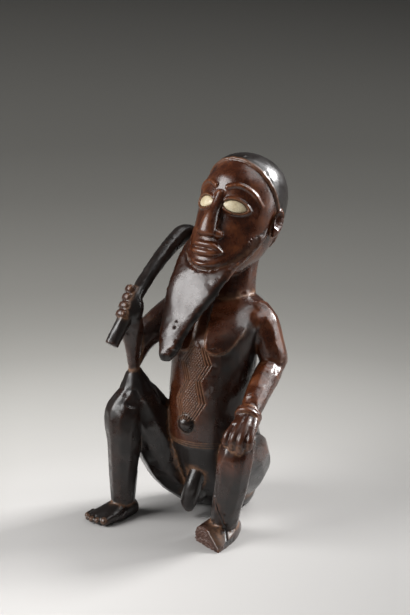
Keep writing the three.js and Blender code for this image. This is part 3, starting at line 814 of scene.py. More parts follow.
# %% [markdown]
# ### Eyes, ears and plates
#
# The lids are a raised almond rim round a socket that is cut straight in. In the eye's own
# frame that is only a matter of depth against distance from the almond. The ears are
# hollowed the same way, and the pectoral plates stand up from the chest with a thin rim.

# %% The almond of an eye
EYE = {"x": 9.8, "z": -1, "yaw": 26, "long": 7, "tall": 3.4, "front": 0.2, "back": 2.1}
EYE_GAP = 0.3
FACE_RADIUS = 22
ALMOND_PINCH = 0.35


def eye_axes(side):
    """Where the eye sits in the head's own frame, and its axes there."""
    spin = np.array(Euler((0, 0, side * math.radians(EYE["yaw"]))).to_matrix())
    return front_point(HEAD_LEVELS, side * EYE["x"], EYE["z"]), spin


def pinched(angle):
    """A sine that turns an ellipse into an almond."""
    return np.sin(angle) * abs(np.sin(angle)) ** ALMOND_PINCH


def almond_reach(x, z, long, tall):
    """1 on the almond's edge, less inside it and more outside."""
    angle = np.arctan2(z / tall, x / long)
    for _ in range(6):
        sine = np.where(abs(np.sin(angle)) > 1e-6, np.sin(angle), 1)
        angle = np.arctan2(z / tall, x / long * pinched(angle) / sine)
    edge = np.hypot(long * np.cos(angle), tall * pinched(angle))
    return np.hypot(x, z) / np.maximum(edge, 1e-6)


print("half an almond's length:", almond_reach(EYE["long"] / 2, 0, EYE["long"], EYE["tall"]))

# %% Eye sockets and lids
EYE_ZONE = (13, 5, 9)
# places and widths below are in shares of the almond, rise and depth in millimetres
LID = {"rise": 1.0, "at": 1.2, "wide": 0.17, "starts": (0.93, 1.02)}
LID_BOWL = {"deep": 0.315, "at": 1.85, "wide": 0.4}
SOCKET_EDGE = (0.94, 1.01)
LID_LINE = {"at": 1.08, "wide": 0.07}

in_head = head_frame(points)
lid_line = np.zeros(len(points))
for side in (1, -1):
    origin, spin = eye_axes(side)
    local = (in_head - origin) @ spin
    near = (abs(local) < EYE_ZONE).all(axis=1) & part_of("head")
    x, y, z = local[near].T
    reach = almond_reach(x, z, EYE["long"], EYE["tall"])
    lid = LID["rise"] * hump(reach - LID["at"], LID["wide"]) * step_up(*LID["starts"], reach)
    bowl = LID_BOWL["deep"] * hump(reach - LID_BOWL["at"], LID_BOWL["wide"])
    skin_y = y - lid + bowl
    floor_y = EYE["back"] - EYE_GAP + x * x / (2 * FACE_RADIUS)
    inside = 1 - step_up(*SOCKET_EDGE, reach)
    local[near, 1] = skin_y + (np.maximum(floor_y, skin_y) - skin_y) * inside
    line = hump(reach - LID_LINE["at"], LID_LINE["wide"])
    lid_line[near] = np.maximum(lid_line[near], line)
    in_head[near] = local[near] @ spin.T + origin
points = on_head(in_head)
print("socket points:", int((lid_line > 0.5).sum()))

# %% Ear hollows
HOLLOW_REACH = 2.5

for side in (1, -1):
    spin = np.array(Euler((0, 0, side * math.radians(EAR["turn"]))).to_matrix())
    middle = np.array(EAR["bowl"]) * [side, 1, 1]
    local = (in_head - middle) @ spin
    share = local / EAR["hollow"]
    flat = share[:, 1] ** 2 + share[:, 2] ** 2
    near = (flat < 1) & (abs(share[:, 0]) < HOLLOW_REACH) & part_of("left_ear", "right_ear")
    inner = -side * EAR["hollow"][0] * np.sqrt(np.maximum(1 - flat, 0))
    cut = near & (local[:, 0] * side > inner * side)
    local[cut, 0] = inner[cut]
    in_head[cut] = local[cut] @ spin.T + middle
points, normals, edges = renewed(carving, on_head(in_head))
print("ears hollowed")

# %% Plates of the chest
PLATE_OUTLINE = [
    [6.5, 98.2], [8.6, 97], [11.1, 96.2], [13.5, 96.7], [15.7, 97.6], [18.5, 100.9],
    [19.6, 103.2], [21, 105.5], [21.4, 108.2], [30, 109], [30, 120], [-3.6, 120],
    [-2.4, 117.3], [-1, 115.3], [0.9, 112.5], [2.5, 109.2], [4.1, 106.3], [5.3, 102.3],
    [6.5, 98.2],
]
PLATE_STEP = {"rise": 1.3, "half_width": 0.35}
PLATE_RIM = {"rise": 0.25, "in": 0.7, "wide": 0.5}
PLATE_DUST = {"out": 0.25, "wide": 0.4, "least": 0.35}
CHEST_ZONE = {"low": 92, "high": 122, "back": 12, "facing": 0.3}
CHEST_MIDDLE = {"heights": [96, 102, 106, 110.5, 117], "x": [1.9, 1.9, 0.8, -1.4, -5.4]}
CHEST_FADE = {"heights": (114, 118.5), "sides": (17, 24)}


def inside_outline(x, z, corners):
    """Millimetres inside a closed outline, negative outside it."""
    inside = np.zeros(len(x), bool)
    for (x0, z0), (x1, z1) in zip(corners[:-1], corners[1:]):
        if z0 != z1:
            crosses = (z0 > z) != (z1 > z)
            inside ^= crosses & (x < x0 + (z - z0) / (z1 - z0) * (x1 - x0))
    away = line_distance(np.stack([x, z], 1), corners)
    return np.where(inside, away, -away)


chest = part_of("trunk", "neck", "left_upper_arm", "right_upper_arm", "left_armpit")
chest &= (points[:, 2] > CHEST_ZONE["low"]) & (points[:, 2] < CHEST_ZONE["high"])
chest &= (points[:, 1] < CHEST_ZONE["back"]) & (normals[:, 1] < CHEST_ZONE["facing"])
lift = np.zeros(len(points))
plate_edge = np.zeros(len(points))
x, _, z = points[chest].T
chest_middle = np.interp(z, CHEST_MIDDLE["heights"], CHEST_MIDDLE["x"])
fade = 1 - step_up(*CHEST_FADE["heights"], z)
fade *= 1 - step_up(*CHEST_FADE["sides"], abs(x - chest_middle))
for side in (1, -1):
    mirrored = chest_middle + side * (x - chest_middle)
    depth_in = inside_outline(mirrored, z, PLATE_OUTLINE)
    plate = step_up(-PLATE_STEP["half_width"], PLATE_STEP["half_width"], depth_in)
    rim = hump(depth_in - PLATE_RIM["in"], PLATE_RIM["wide"])
    dusty_edge = hump(depth_in + PLATE_DUST["out"], PLATE_DUST["wide"])
    lift[chest] += PLATE_STEP["rise"] * plate * fade
    lift[chest] += PLATE_RIM["rise"] * rim * fade
    plate_edge[chest] += dusty_edge * np.maximum(fade, PLATE_DUST["least"])
print("plates up to", round(float(lift.max()), 2), "mm")

# %% Shoulder blades, spine and cleft
BACK_FROM = 8
SPINE = {"x": 0.5, "wide": 2.4, "deep": 0.9, "starts": (20, 34), "ends": (104, 114)}
CLEFT = {"wide": 1.6, "deep": 1.8, "ends": (18, 34)}
BLADE = {"off": 11.5, "height": 101, "half": (7.5, 9), "rise": 0.8, "edge": (0.85, 1.08)}

x, y, z = points.T
back_side = part_of("trunk") & (y > BACK_FROM)
off_spine = x - SPINE["x"]
spine = hump(off_spine, SPINE["wide"]) * step_up(*SPINE["starts"], z)
spine *= 1 - step_up(*SPINE["ends"], z)
cleft = hump(off_spine, CLEFT["wide"]) * (1 - step_up(*CLEFT["ends"], z))
lift -= np.where(back_side, SPINE["deep"] * spine + CLEFT["deep"] * cleft, 0)
for side in (1, -1):
    sideways = (off_spine - side * BLADE["off"]) / BLADE["half"][0]
    reach = np.hypot(sideways, (z - BLADE["height"]) / BLADE["half"][1])
    lift += np.where(back_side, BLADE["rise"] * (1 - step_up(*BLADE["edge"], reach)), 0)
points = points + normals * spread(lift, edges, 1)[:, None]
print("spine and cleft down to", round(float(lift.min()), 2), "mm")

# %% [markdown]
# ### Scars and belt
#
# The belly carries two lozenges of nested zigzag lines, filled with a lattice of small
# diamonds, and three fine lines run round the waist as a belt. All are cuts of a knife
# point. The middle of the front leans a little, and every cut follows it.

# %% Pattern of the scars
# half width of the outer and of the inner line, and height
SCAR_CORNERS = [[4, 1.4, 99.5], [8.8, 5.4, 90.5], [4.5, 1.7, 81], [9, 5.6, 69.4], [4.8, 1.8, 60]]
SCAR_LINES = 3
SCAR_CUT = {"half_width": 0.34, "depth": 0.45, "dust": 0.8}
LATTICE = {"wide": 1.55, "tall": 2.5, "half_width": 0.26, "depth": 0.3, "dust": 0.5,
           "inset": 0.5, "low": 60.5, "high": 99}
NOWHERE_NEAR = 9.0


def scar_distance(flat):
    """Distance to the nested zigzag lines on both sides of the middle."""
    away = np.full(len(flat), NOWHERE_NEAR)
    for side in (1, -1):
        for number in range(SCAR_LINES):
            share = number / (SCAR_LINES - 1)
            corners = [
                (side * (outer + (inner - outer) * share), z) for outer, inner, z in SCAR_CORNERS
            ]
            away = np.minimum(away, line_distance(flat, corners))
    return away


def lattice_cut(flat):
    """The crossing cuts between the innermost zigzag lines, 1 at the bottom of a cut."""
    _, inner, heights = np.array(SCAR_CORNERS)[::-1].T
    reach = np.interp(flat[:, 1], heights, inner) - LATTICE["inset"]
    within = (abs(flat[:, 0]) < reach) & (flat[:, 1] > LATTICE["low"])
    within &= flat[:, 1] < LATTICE["high"]
    pitch = 1 / math.hypot(1 / LATTICE["wide"], 1 / LATTICE["tall"])
    away = np.full(len(flat), NOWHERE_NEAR)
    for way in (1, -1):
        count = flat[:, 0] / LATTICE["wide"] + way * flat[:, 1] / LATTICE["tall"]
        away = np.minimum(away, abs(count - np.round(count)) * pitch)
    return np.where(within, hump(away, LATTICE["half_width"]), 0)


print("middle of the lattice:", lattice_cut(np.array([[0, LATTICE["tall"] * 32]])))

# %% Cut the scar lines and the lattice
BELLY_FACING, BELLY_FRONT = -0.3, -5
SCARRED = {"half_wide": 11, "low": 57, "high": 102}

points, normals, edges = renewed(carving, points)
x, y, z = points.T
belly = part_of("trunk", "navel") & (normals[:, 1] < BELLY_FACING) & (y < BELLY_FRONT)
off_middle = x - midline(z)
zone = belly & (abs(off_middle) < SCARRED["half_wide"])
zone &= (z > SCARRED["low"]) & (z < SCARRED["high"])
flat = np.stack([off_middle[zone], z[zone]], 1)
line_cut = hump(scar_distance(flat), SCAR_CUT["half_width"])
weave_cut = lattice_cut(flat)
carve, scar = np.zeros(len(points)), np.zeros(len(points))
carve[zone] = np.maximum(SCAR_CUT["depth"] * line_cut, LATTICE["depth"] * weave_cut)
scar[zone] = np.maximum(SCAR_CUT["dust"] * line_cut, LATTICE["dust"] * weave_cut)
print("scarred points:", int((scar > 0.5).sum()))

# %% Belt, and the ring round the navel
BELT_HEIGHTS = [46.9, 45.5, 44.1]
BELT = {"wide": 24.6, "drop": 2, "gather": 0.9, "half_width": 0.3, "depth": 0.3, "dust": 0.7,
        "turned": 62, "weaker": 0.7, "weakens": (6, 16)}
NAVEL_RING = {"reach": 5.5, "half_width": 0.4, "depth": 0.3, "dust": 0.3}

turned = np.degrees(np.arctan2(x, -y))
on_belt = belly & (abs(turned) < BELT["turned"])
to_right = np.minimum(x / BELT["wide"], 0)
belt_fade = 1 - BELT["weaker"] * step_up(*BELT["weakens"], x)
for number, height in enumerate(BELT_HEIGHTS):
    drop = BELT["drop"] * to_right ** 2 + (number - 1) * BELT["gather"] * to_right
    groove = np.where(on_belt, hump(z - height + drop, BELT["half_width"]), 0) * belt_fade
    carve = np.maximum(carve, BELT["depth"] * groove)
    scar = np.maximum(scar, BELT["dust"] * groove)
off_navel = np.hypot(x - midline(NAVEL["height"]), z - NAVEL["height"])
ring_cut = np.where(belly, hump(off_navel - NAVEL_RING["reach"], NAVEL_RING["half_width"]), 0)
carve = np.maximum(carve, NAVEL_RING["depth"] * ring_cut)
scar = np.maximum(scar, NAVEL_RING["dust"] * ring_cut)
print("belt points:", int((on_belt & (scar > 0.5)).sum()))

# %% Crack of the left leg, and crease of the left elbow
CRACK_CUT = {"half_width": 0.34, "depth": 0.75, "front": -42, "fades": (30, 22), "least": 0.3,
             "foot": (7, 12), "foot_share": 0.4}
ELBOW_CREASE = [[27.5, -1.5, 88.9], [30.5, -1, 89], [34, 1.5, 89.1], [38.4, 6.5, 89.1]]
ELBOW_CUT = {"half_width": 0.6, "depth": 0.35}


def on_form(where, values):
    """Puts the values of some points among all points, with 0 elsewhere."""
    field = np.zeros(len(where))
    field[where] = values
    return field


left_leg = part_of("left_shin", "left_foot") & (y < CRACK_CUT["front"])
cracked_skin = hump(line_distance(points[left_leg][:, [0, 2]], crack_line), CRACK_CUT["half_width"])
fade = step_up(*CRACK_CUT["fades"], z[left_leg]) * (1 - CRACK_CUT["least"]) + CRACK_CUT["least"]
crack = on_form(left_leg, cracked_skin * fade)
in_foot = CRACK_CUT["foot_share"] + (1 - CRACK_CUT["foot_share"]) * step_up(*CRACK_CUT["foot"], z)
carve = np.maximum(carve, CRACK_CUT["depth"] * crack * in_foot)
left_arm = part_of("left_upper_arm", "left_forearm")
crease = hump(line_distance(points[left_arm], ELBOW_CREASE), ELBOW_CUT["half_width"])
elbow = on_form(left_arm, crease)
carve = np.maximum(carve, ELBOW_CUT["depth"] * elbow)
print("crack points:", int((crack > 0.5).sum()))

# %% Holes in the beard, and nails
BEARD_HOLES = [[-10, -24.4, 112.6], [-10.4, -26.2, 109.7]]
BEARD_SPOT = [-2.7, -22.3, 116.4]
HOLE_CUT = {"radius": 0.75, "depth": 0.8}
SPOT_CUT = {"radius": 1.3, "depth": 0.15}
NAILS = [
    [[38.8, -46, 56.4], 1.5], [[31.2, -44, 56.2], 1.1], [[34.8, -46, 57.4], 1.2],
    [[43.2, -43.2, 57.8], 1.1], [[-37.9, -58, 4.1], 1.6], [[-42, -58, 3.8], 1.1],
    [[-45.8, -57.4, 3.6], 1.0], [[-49.1, -55.9, 3.4], 0.95], [[-51.8, -53.2, 3.2], 0.9],
]
NAIL_CUT = {"at": 1.15, "half_width": 0.35, "depth": 0.22, "bed": 0.7}


def away_from(place, where):
    return np.linalg.norm(points[where] - place, axis=1)


board = part_of("beard")
hole_cuts = [hump(away_from(hole, board), HOLE_CUT["radius"]) for hole in BEARD_HOLES]
holes = on_form(board, np.max(hole_cuts, axis=0))
spot = on_form(board, hump(away_from(BEARD_SPOT, board), SPOT_CUT["radius"]))
carve = np.maximum(carve, HOLE_CUT["depth"] * holes + SPOT_CUT["depth"] * spot)
nail, nail_bed = np.zeros(len(points)), np.zeros(len(points))
tips = part_of("left_finger", "right_finger", "toe")
for middle, radius in NAILS + fist_nails:
    away = away_from(middle, tips)
    rim = hump(away - radius * NAIL_CUT["at"], NAIL_CUT["half_width"])
    nail[tips] = np.maximum(nail[tips], rim)
    nail_bed[tips] = np.maximum(
        nail_bed[tips], 1 - step_up(radius * NAIL_CUT["bed"], radius, away))
carve = np.maximum(carve, NAIL_CUT["depth"] * nail)
print("nails:", len(NAILS) + len(fist_nails))

# %% Groove behind the hairline
HAIR_EDGE = -0.2
HAIR_GROOVE = {"behind": 1.9, "half_width": 0.35, "depth": 0.3}

behind_hairline = (head_frame(points) - HAIRLINE["place"]) @ unit(HAIRLINE["normal"])
above_nape = (head_frame(points) - NAPE["place"]) @ unit(NAPE["normal"])
hair = part_of("cap", "head") & (behind_hairline > HAIR_EDGE) & (above_nape > HAIR_EDGE)
groove = hump(behind_hairline - HAIR_GROOVE["behind"], HAIR_GROOVE["half_width"]) * hair
carve = np.maximum(carve, HAIR_GROOVE["depth"] * groove)
points = points - normals * carve[:, None]
print("deepest cut", round(float(carve.max()), 2), "mm")

# %% [markdown]
# ### Bevel of the beard, facets and the broken foot
#
# The board of the beard is nearly flat, with a bevel all round that catches no light. The
# left foot has lost its front: there the wood is bare and rough, and beside the break the
# stump was cut into flat facets. Everywhere else the knife left shallow flats. Each flat is
# one seed point whose tangent plane the skin leans to.

# %% The jaw stands a little proud of the board
JAW = {"wide": 20.5, "from": -10, "chin": -37, "step": 1.0, "fade": (-11, -17)}
JAW_ZONE = {"low": -46, "high": -9}
JAW_LIP = {"in": 1.6, "wide": 1.7}
JAW_HOLLOW = {"out": 0.9, "wide": 1.1}
JAW_CREASE = {"out": 0.5, "wide": 0.5}

points, normals, edges = renewed(carving, points)
in_head = head_frame(points)
jaw_line = [
    [JAW["wide"] * math.cos(t), JAW["from"] + (JAW["chin"] - JAW["from"]) * math.sin(t)]
    for t in np.linspace(0, math.pi, 33)
]
jaw_zone = part_of("head", "beard", "lower_lip") & (in_head[:, 1] < 0)
jaw_zone &= (in_head[:, 2] > JAW_ZONE["low"]) & (in_head[:, 2] < JAW_ZONE["high"])
x, _, z = in_head[jaw_zone].T
from_jaw = inside_outline(x, z, jaw_line + jaw_line[:1])
fade = step_up(*JAW["fade"], z)
jaw_lift = hump(from_jaw - JAW_LIP["in"], JAW_LIP["wide"])
jaw_lift -= hump(from_jaw + JAW_HOLLOW["out"], JAW_HOLLOW["wide"])
jaw_crease = on_form(jaw_zone, hump(from_jaw + JAW_CREASE["out"], JAW_CREASE["wide"]) * fade)
in_head[jaw_zone, 1] -= JAW["step"] * jaw_lift * fade
points, normals, edges = renewed(carving, on_head(in_head))
print("jaw crease points:", int((jaw_crease > 0.5).sum()))

# %% Bevel round the beard board
BEVEL = {"wide": 2.4, "narrow": 1.1, "tip_wide": 3.2, "tip": -89.4, "deep": 1.5, "right": 0.6,
         "most": 1.2, "starts": (-36, -46), "below": -38}

in_head = head_frame(points)
sections = np.array([beard_section(share) for share in np.linspace(0, 1, 181)])
half_wide = np.interp(in_head[:, 2], sections[:, 2], sections[:, 3])
off_drift = in_head[:, 0] - np.interp(in_head[:, 2], sections[:, 2], sections[:, 0])
on_left = off_drift > 0
to_edge = (half_wide - abs(off_drift)) / np.where(on_left, BEVEL["wide"], BEVEL["narrow"])
to_tip = (in_head[:, 2] - BEVEL["tip"]) / BEVEL["tip_wide"]
bevel = np.clip(1 - np.minimum(to_edge, to_tip), 0, BEVEL["most"])
face_of_board = board & ((normals @ HEAD_AXES)[:, 1] < 0) & (in_head[:, 2] < BEVEL["below"])
bevel = np.where(face_of_board, bevel, 0) * step_up(*BEVEL["starts"], in_head[:, 2])
bevel_deep = BEVEL["deep"] * np.where(on_left, 1, BEVEL["right"])
points = points + (bevel * bevel_deep)[:, None] * (HEAD_AXES @ [0, 1, 0])
print("bevelled points:", int((bevel > 0.1).sum()))

# %% A field of knife flats
FLAT_DEPTH = 0.6


def knife_flats(where, spacing, lean, jitter, seed):
    """How far each point moves along its normal towards the nearest flat."""
    chance = np.random.default_rng(seed)
    chosen = np.flatnonzero(where > 0)
    order = chance.permutation(chosen)
    cell = np.floor(points[order] / spacing + chance.uniform(0, 1, 3)).astype(int)
    _, first = np.unique(cell @ np.array([1, 1000, 1000000]), return_index=True)
    seeds = order[first]
    flats = KDTree(len(seeds))
    for number, co in enumerate(points[seeds]):
        flats.insert(co, number)
    flats.balance()
    mine = np.array([flats.find(co)[1] for co in points[chosen]])
    facing = normals[seeds] + chance.normal(0, jitter, (len(seeds), 3))
    facing /= np.linalg.norm(facing, axis=1)[:, None]
    above = np.einsum("ij,ij->i", points[chosen] - points[seeds[mine]], facing[mine])
    return on_form(where > 0, -lean * np.clip(above, -FLAT_DEPTH, FLAT_DEPTH) * where[chosen])


print("flats up to", FLAT_DEPTH, "mm deep")

# %% Flats of the knife
# spacing of the flats in mm, how far the skin leans to them, how unevenly they face, and seed
HAMMERED = (3.8, 0.7, 0.06, 5)
WHITTLED = (3.4, 0.6, 0.05, 9)
BROAD = (12.0, 0.3, 0.012, 7)
BROAD_IN_FRONT = (5.0, 0.2, 0.03, 13)
FRONT_TO = 8
WHITTLED_SHARE, TRUNK_SHARE, LAP_SHARE = 0.7, 0.6, 0.3
LAP_HEIGHT = 45
# the swells of the beard board: millimetres apart, seed and height
BOARD_SWELLS = [(15, 21, 0.24), (2.6, 22, 0.015)]
# single flats: the form, a place on the flat and the way it looks
PLANED = [
    ["right_shin", [-31.6, -34.2, 70], [0.62, -0.76, 0.2]],
    ["left_shin", [31.8, -46.2, 41], [0.1, -0.99, 0.06]],
]
PLANED_FADE = (5, 8)

hammered = part_of("beard").astype(float)
whittled = WHITTLED_SHARE * part_of("whisk", "cap", "right_foot")
broad = part_of(
    "trunk", "left_thigh", "right_thigh", "left_shin", "right_shin", "left_upper_arm",
    "right_upper_arm", "left_forearm", "right_forearm", "neck",
).astype(float)
broad[scar > 0.05] = 0
lap = part_of("left_thigh") | (part_of("trunk") & (points[:, 2] < LAP_HEIGHT))
broad[part_of("trunk")] *= TRUNK_SHARE
broad[lap] *= LAP_SHARE
broad = spread(broad, edges, 6)
shift = spread(knife_flats(hammered, *HAMMERED), edges, 4)
for apart, seed, height in BOARD_SWELLS:
    shift += height * waves(points, apart, seed) * hammered
shift += spread(knife_flats(whittled, *WHITTLED), edges, 1)
shift += knife_flats(broad, *BROAD)
shift += knife_flats(broad * (points[:, 1] < FRONT_TO), *BROAD_IN_FRONT)
for name, place, normal in PLANED:
    away = (points - place) @ unit(normal)
    close = 1 - step_up(*PLANED_FADE, np.linalg.norm(points - place, axis=1))
    shift -= np.where(part_of(name) & (away > 0), away * close, 0)
points = points + normals * spread(shift, edges, 1)[:, None]
print("flats move the skin by", round(float(abs(shift).max()), 2), "mm at most")

# %% The rough break of the left foot
# the ragged edge of the break leans over to the left: where it meets the ground, and its slope
TORN_EDGE = {"x": 30.1, "slope": 0.98, "half_width": 0.6}
TORN_SKIN = (-1.2, -0.3)
TORN_BACK = 0.3
# splinters: how much they stretch along the grain, millimetres apart, seed and height
SPLINTERS = [(3, 2.6, 11, 0.35), (4, 1.1, 12, 0.2)]

break_normal = unit(FOOT_BREAK["normal"])
from_break = (points - FOOT_BREAK["place"]) @ break_normal
from_edge = points[:, 0] - TORN_EDGE["x"] + TORN_EDGE["slope"] * points[:, 2]
torn_side = 1 - step_up(-TORN_EDGE["half_width"], TORN_EDGE["half_width"], from_edge)
broken = part_of("left_foot") * step_up(*TORN_SKIN, from_break) * torn_side
rough = sum(
    height * waves(points * [1, 1, stretch], apart, seed)
    for stretch, apart, seed, height in SPLINTERS
)
points = points + ((rough - TORN_BACK) * broken)[:, None] * break_normal
points[:, 2] = np.maximum(points[:, 2], 0)
points, normals, edges = renewed(carving, points)
print("broken points:", int((broken > 0.5).sum()))

# %% [markdown]
# ## Where the patina is thick, worn or dusty, and where shade is painted
#
# The finish mostly follows the object's history. Soot and oil made the hair, beard, whisk,
# legs and lower belly nearly black; the face, neck, chest and left arm stayed red-brown.
# Handling wore the high places to orange, and pale dust sits in cuts and creases. Shade is
# painted in as well: the trunk's left flank, the bevel of the beard, the crack and the beard's
# holes are painted black. Three masks say so, kept as one colour attribute on the skin: red
# for black patina and painted shade, green for dust, blue for wear. A fourth, its alpha, marks
# the bare wood of the break.

# %% How hollow each point lies
USUAL_EDGE, SHORTEST_EDGE = 0.45, 0.1

a, b = edges.T
count = len(points)
starting = np.bincount(a, minlength=count)
neighbours = np.maximum(starting + np.bincount(b, minlength=count), 1)
across_edge = points[b] - points[a]
length = np.linalg.norm(across_edge, axis=1)
lean_a = np.einsum("ij,ij->i", across_edge, normals[a]) / length
lean_b = -np.einsum("ij,ij->i", across_edge, normals[b]) / length
hollow = (np.bincount(a, lean_a, count) + np.bincount(b, lean_b, count)) / neighbours
edge_length = spread(np.bincount(a, length, count) / np.maximum(starting, 1), edges, 1)
hollow = hollow * USUAL_EDGE / np.maximum(edge_length, SHORTEST_EDGE)
fine_hollow, wide_hollow = spread(hollow, edges, 3), spread(hollow, edges, 24)
print("hollow points:", int((fine_hollow > 0.1).sum()), "of", count)

# %% Black patina, and painted shade
# the right palm, between the fingers and the forearm, is set near black, darker than the fingers
BLACKNESS = {
    "trunk": 0.4, "navel": 0.95, "neck": 0.3, "head": 0.12, "nose": 0.12, "upper_lip": 0.2,
    "lower_lip": 0.15, "left_brow": 0.15, "right_brow": 0.15, "left_wing": 0.1,
    "right_wing": 0.1, "left_ear": 0.2, "right_ear": 0.2, "cap": 1.0, "beard": 0.55,
    "whisk": 1.0, "left_upper_arm": 0.2, "left_armpit": 0.25, "left_forearm": 0.15,
    "left_palm": 0.45, "left_finger": 0.48, "bracelet": 0.3, "right_upper_arm": 0.6,
    "right_forearm": 0.55, "right_palm": 0.85, "right_finger": 0.5, "right_thigh": 0.78,
    "right_shin": 0.72, "left_thigh": 0.84, "left_shin": 0.72, "right_foot": 0.82, "toe": 0.78,
    "left_foot": 0.6, "penis": 0.85, "scrotum": 0.92,
}
BELOW_BELT = {"black": 0.9, "heights": (40, 54)}
# painted shade: the side of the trunk that faces the figure's left is painted blacker
LEFT_FLANK_PAINTED_SHADE = {"blacker": 0.25, "facing": (0.1, 0.7)}
KNEE_GLOW = {"height": 47, "wide": 6, "paler": 0.4}
HAIR_RIM = {"behind": (1.2, 1.7), "paler": 0.6}
# painted shade: the beard's bevel, which catches no light, is painted near black
BEVEL_PAINTED_SHADE = {"black": 0.95, "bevel": (0.15, 0.5)}
# painted shade: how black the crack and the beard's holes are painted, for the shade inside them
CUT_PAINTED_SHADE = 1.4
FACET = {"black": 0.75, "dust": 0.3, "flush": (0.5, 1.0), "facing": (0.8, 0.95), "least": 0.1}

black = np.zeros(count)
for name, value in BLACKNESS.items():
    black[part_of(name)] = value
trunk_points = part_of("trunk")
below_belt = 1 - step_up(*BELOW_BELT["heights"], points[:, 2])
black = np.where(trunk_points, np.maximum(black, BELOW_BELT["black"] * below_belt), black)
# painted shade on the trunk's left flank, by the way its surface faces
flank_painted_shade = step_up(*LEFT_FLANK_PAINTED_SHADE["facing"], normals[:, 0]) * trunk_points
knee_glow = hump(points[:, 2] - KNEE_GLOW["height"], KNEE_GLOW["wide"])
knee_glow *= part_of("left_shin", "left_thigh")
black = black + LEFT_FLANK_PAINTED_SHADE["blacker"] * flank_painted_shade - KNEE_GLOW["paler"] * knee_glow
rim_band = (1 - step_up(*HAIR_RIM["behind"], behind_hairline)) * hair
black = np.where(hair, 1 - HAIR_RIM["paler"] * rim_band, black)
# painted shade along the beard's bevel
bevel_painted_shade = step_up(*BEVEL_PAINTED_SHADE["bevel"], np.clip(bevel, 0, 1))
black = np.maximum(black, BEVEL_PAINTED_SHADE["black"] * bevel_painted_shade)
facet = np.zeros(count)
for cut in STUMP_FACETS:
    off_plane = abs((points - cut["place"]) @ unit(cut["normal"]))
    facing = step_up(*FACET["facing"], normals @ unit(cut["normal"]))
    facet = np.maximum(facet, (1 - step_up(*FACET["flush"], off_plane)) * facing)
facet *= part_of("left_foot")
on_facet = facet > FACET["least"]
black = spread(np.where(on_facet, FACET["black"], black), edges, 4)
# painted shade: the crack and the beard's holes are painted black
black = np.maximum(black, np.clip((crack + holes) * CUT_PAINTED_SHADE, 0, 1))
print("facet points:", int((facet > 0.5).sum()))

# %% Dust in seams, cuts and hollows
SEAMS = [
    # two forms, how much dust lies between them, and rounds that spread it
    ["neck", "trunk", 1.0, 2], ["trunk", "right_thigh", 0.9, 3], ["trunk", "penis", 1.0, 4],
    ["trunk", "left_thigh", 0.9, 3], ["penis", "right_thigh", 0.7, 3],
    ["right_shin", "right_foot", 0.9, 2], ["left_shin", "left_foot", 0.9, 2],
    ["right_upper_arm", "right_forearm", 0.9, 3], ["right_thigh", "right_forearm", 0.9, 4],
    ["right_thigh", "right_upper_arm", 0.9, 4], ["left_forearm", "bracelet", 0.7, 1],
    ["left_finger", "bracelet", 0.8, 1], ["left_palm", "left_shin", 0.8, 2],
    ["left_finger", "left_shin", 0.9, 2], ["left_finger", "left_thigh", 0.8, 2],
    ["right_finger", "whisk", 0.5, 2], ["head", "left_ear", 0.8, 1],
]
HOLLOW_DUST = {"amount": 0.45, "wide": (0.04, 0.14), "fine": (0.14, 0.32)}
CUT_DUST = [
    # how much dust lies in each kind of cut
    (1.0, scar), (0.8, spread(plate_edge, edges, 1)), (0.7, elbow), (0.45, nail),
    (0.35, nail_bed), (0.8, lid_line), (0.35, rim_band), (0.35, jaw_crease),
]
SEAM_STRENGTH = 1.6
CLEAN = {"crack": 3, "holes": 1.5, "share": 0.95}


def seam(first, second, rounds):
    """A soft line along the border between two forms."""
    one, other = part_of(first), part_of(second)
    crossing = (one[a] & other[b]) | (one[b] & other[a])
    line = np.zeros(count)
    line[a[crossing]] = 1
    line[b[crossing]] = 1
    return np.clip(SEAM_STRENGTH * spread(line, edges, rounds), 0, 1)


in_hollow = step_up(*HOLLOW_DUST["wide"], wide_hollow) + step_up(*HOLLOW_DUST["fine"], fine_hollow)
dust = np.clip(in_hollow, 0, 1) * HOLLOW_DUST["amount"]
for first, second, amount, rounds in SEAMS:
    dust = np.maximum(dust, amount * seam(first, second, rounds))
for amount, cuts in CUT_DUST:
    dust = np.maximum(dust, amount * cuts)
dust = np.where(on_facet, FACET["dust"] * facet, dust)
clean = np.clip(CLEAN["crack"] * spread(crack, edges, 2) + CLEAN["holes"] * holes, 0, 1)
dust = dust * (1 - CLEAN["share"] * clean)
print("dusty points:", int((dust > 0.5).sum()))

# %% Worn places, and the masks on the skin
WEAR = [
    # share, the field that is worn, and where the wear starts and is full
    (0.8, -fine_hollow, (0.03, 0.16)), (0.5, -wide_hollow, (0.02, 0.09)),
]
UNWORN = {"bevel": 2, "crack": 4}
BREAK_WEAR = 0.5
FINGER_WEAR = 0.6

worn = sum(share * step_up(*limits, field) for share, field, limits in WEAR)
worn = np.clip(worn, 0, 1) * (1 - dust) * (1 - np.clip(UNWORN["bevel"] * bevel, 0, 1))
near_cut = UNWORN["crack"] * spread(crack, edges, 4) + facet
worn = worn * (1 - np.clip(near_cut, 0, 1))
worn = np.maximum(worn, BREAK_WEAR * spread(broken, edges, 1))
worn[tips] *= FINGER_WEAR
paint = np.clip(np.stack([black, dust, worn, broken], 1), 0, 1)
# the red channel holds black patina and painted shade
colour = carving.data.color_attributes.new("patina", "FLOAT_COLOR", "POINT")
colour.data.foreach_set("color", paint.astype(np.float32).ravel())
print("mean patina, dust, wear, bare wood:", paint.mean(0).round(3))

# %% [markdown]
# ## Thin the skin out
#
# The carved skin is far denser than its smooth places need. Decimate takes triangles away
# where the surface is flat and leaves them in the cuts; the scars, face and hands are held
# back with a vertex group.

# %% Decimate, and shade smooth
TRIANGLES = 193000
KEPT_CUTS, KEPT_FINGERS, KEPT_FACE = 2, 0.6, 0.4
KEPT_LEVELS = 10

